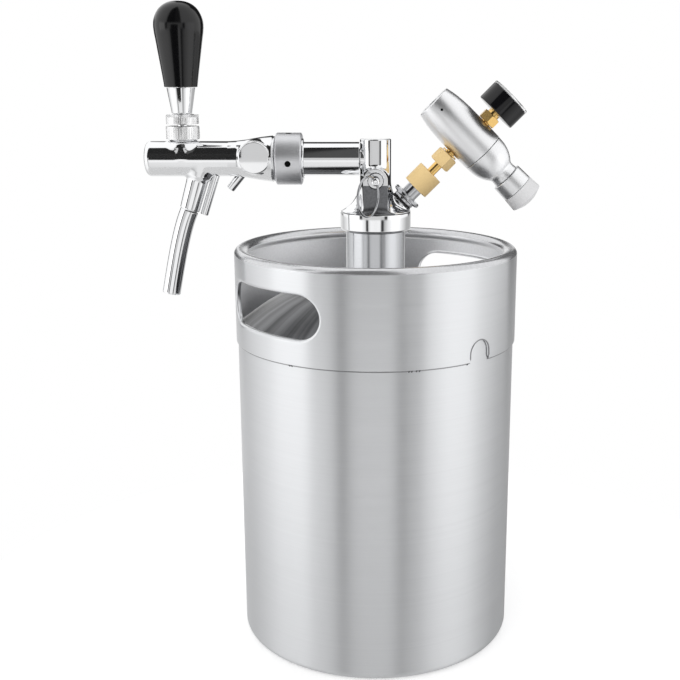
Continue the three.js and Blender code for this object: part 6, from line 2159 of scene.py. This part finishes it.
class KEG_OT_gauge(bpy.types.Operator):
    """Build the gauge: stem, case, printed dial, pointer and lens"""

    bl_idname = "keg.gauge"
    bl_label = "Gauge"

    def execute(self, context):
        along = (GAUGE_AXIS, GAS_WAY, FRONT)
        ready(make_gauge_stem(), "regulator", "gold_brass", gold_brass(), "gauge_stem")
        turned("case", "gauge_case", "regulator", "case_black", finish("case_black"), *along, 160)
        turned("dial", "gauge_dial", "regulator", "dial_white", finish("dial_white"), *along, 128)
        turned("lens", "gauge_lens", "regulator", "lens_clear", clear_lens(), *along, 160)
        ready(make_dial_marks(), "regulator", "dial_white", finish("dial_black"))
        ready(make_pointer(), "pointer", "pointer_red", finish("pointer_red"), "gauge_pointer")
        repaint("pressure_tube", gold_brass())
        return {"FINISHED"}


class KEG_OT_studio(bpy.types.Operator):
    """Set the floor, the soft light, the white room and the camera"""

    bl_idname = "keg.studio"
    bl_label = "Studio"

    def execute(self, context):
        build_studio()
        return {"FINISHED"}


PIECES = (
    KEG_OT_keg,
    KEG_OT_ring,
    KEG_OT_head,
    KEG_OT_arm,
    KEG_OT_faucet,
    KEG_OT_handle,
    KEG_OT_flow,
    KEG_OT_relief,
    KEG_OT_gas,
    KEG_OT_regulator,
    KEG_OT_gauge,
    KEG_OT_studio,
)


class KEG_PT_panel(bpy.types.Panel):
    """The dispenser's sizes, colours and pieces"""

    bl_idname = "KEG_PT_panel"
    bl_label = "Mini Keg Dispenser"
    bl_space_type = "VIEW_3D"
    bl_region_type = "UI"
    bl_category = "Keg"

    def draw(self, context):
        column = self.layout.column()
        for settings in (context.scene.keg_sizes, context.scene.keg_colours):
            for name in settings.bl_rna.properties.keys():
                if name not in ("rna_type", "name"):
                    column.prop(settings, name)
            column.separator()
        for piece in PIECES:
            column.operator(piece.bl_idname)


CLASSES = (KegSizes, KegColours) + PIECES + (KEG_PT_panel,)


def register():
    for each in CLASSES:
        bpy.utils.register_class(each)
    bpy.types.Scene.keg_sizes = PointerProperty(type=KegSizes)
    bpy.types.Scene.keg_colours = PointerProperty(type=KegColours)


def unregister():
    del bpy.types.Scene.keg_colours
    del bpy.types.Scene.keg_sizes
    for each in reversed(CLASSES):
        bpy.utils.unregister_class(each)


def main():
    register()
    for piece in PIECES:
        group, name = piece.bl_idname.split(".")
        getattr(getattr(bpy.ops, group), name)()
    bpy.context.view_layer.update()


if __name__ == "__main__":
    main()
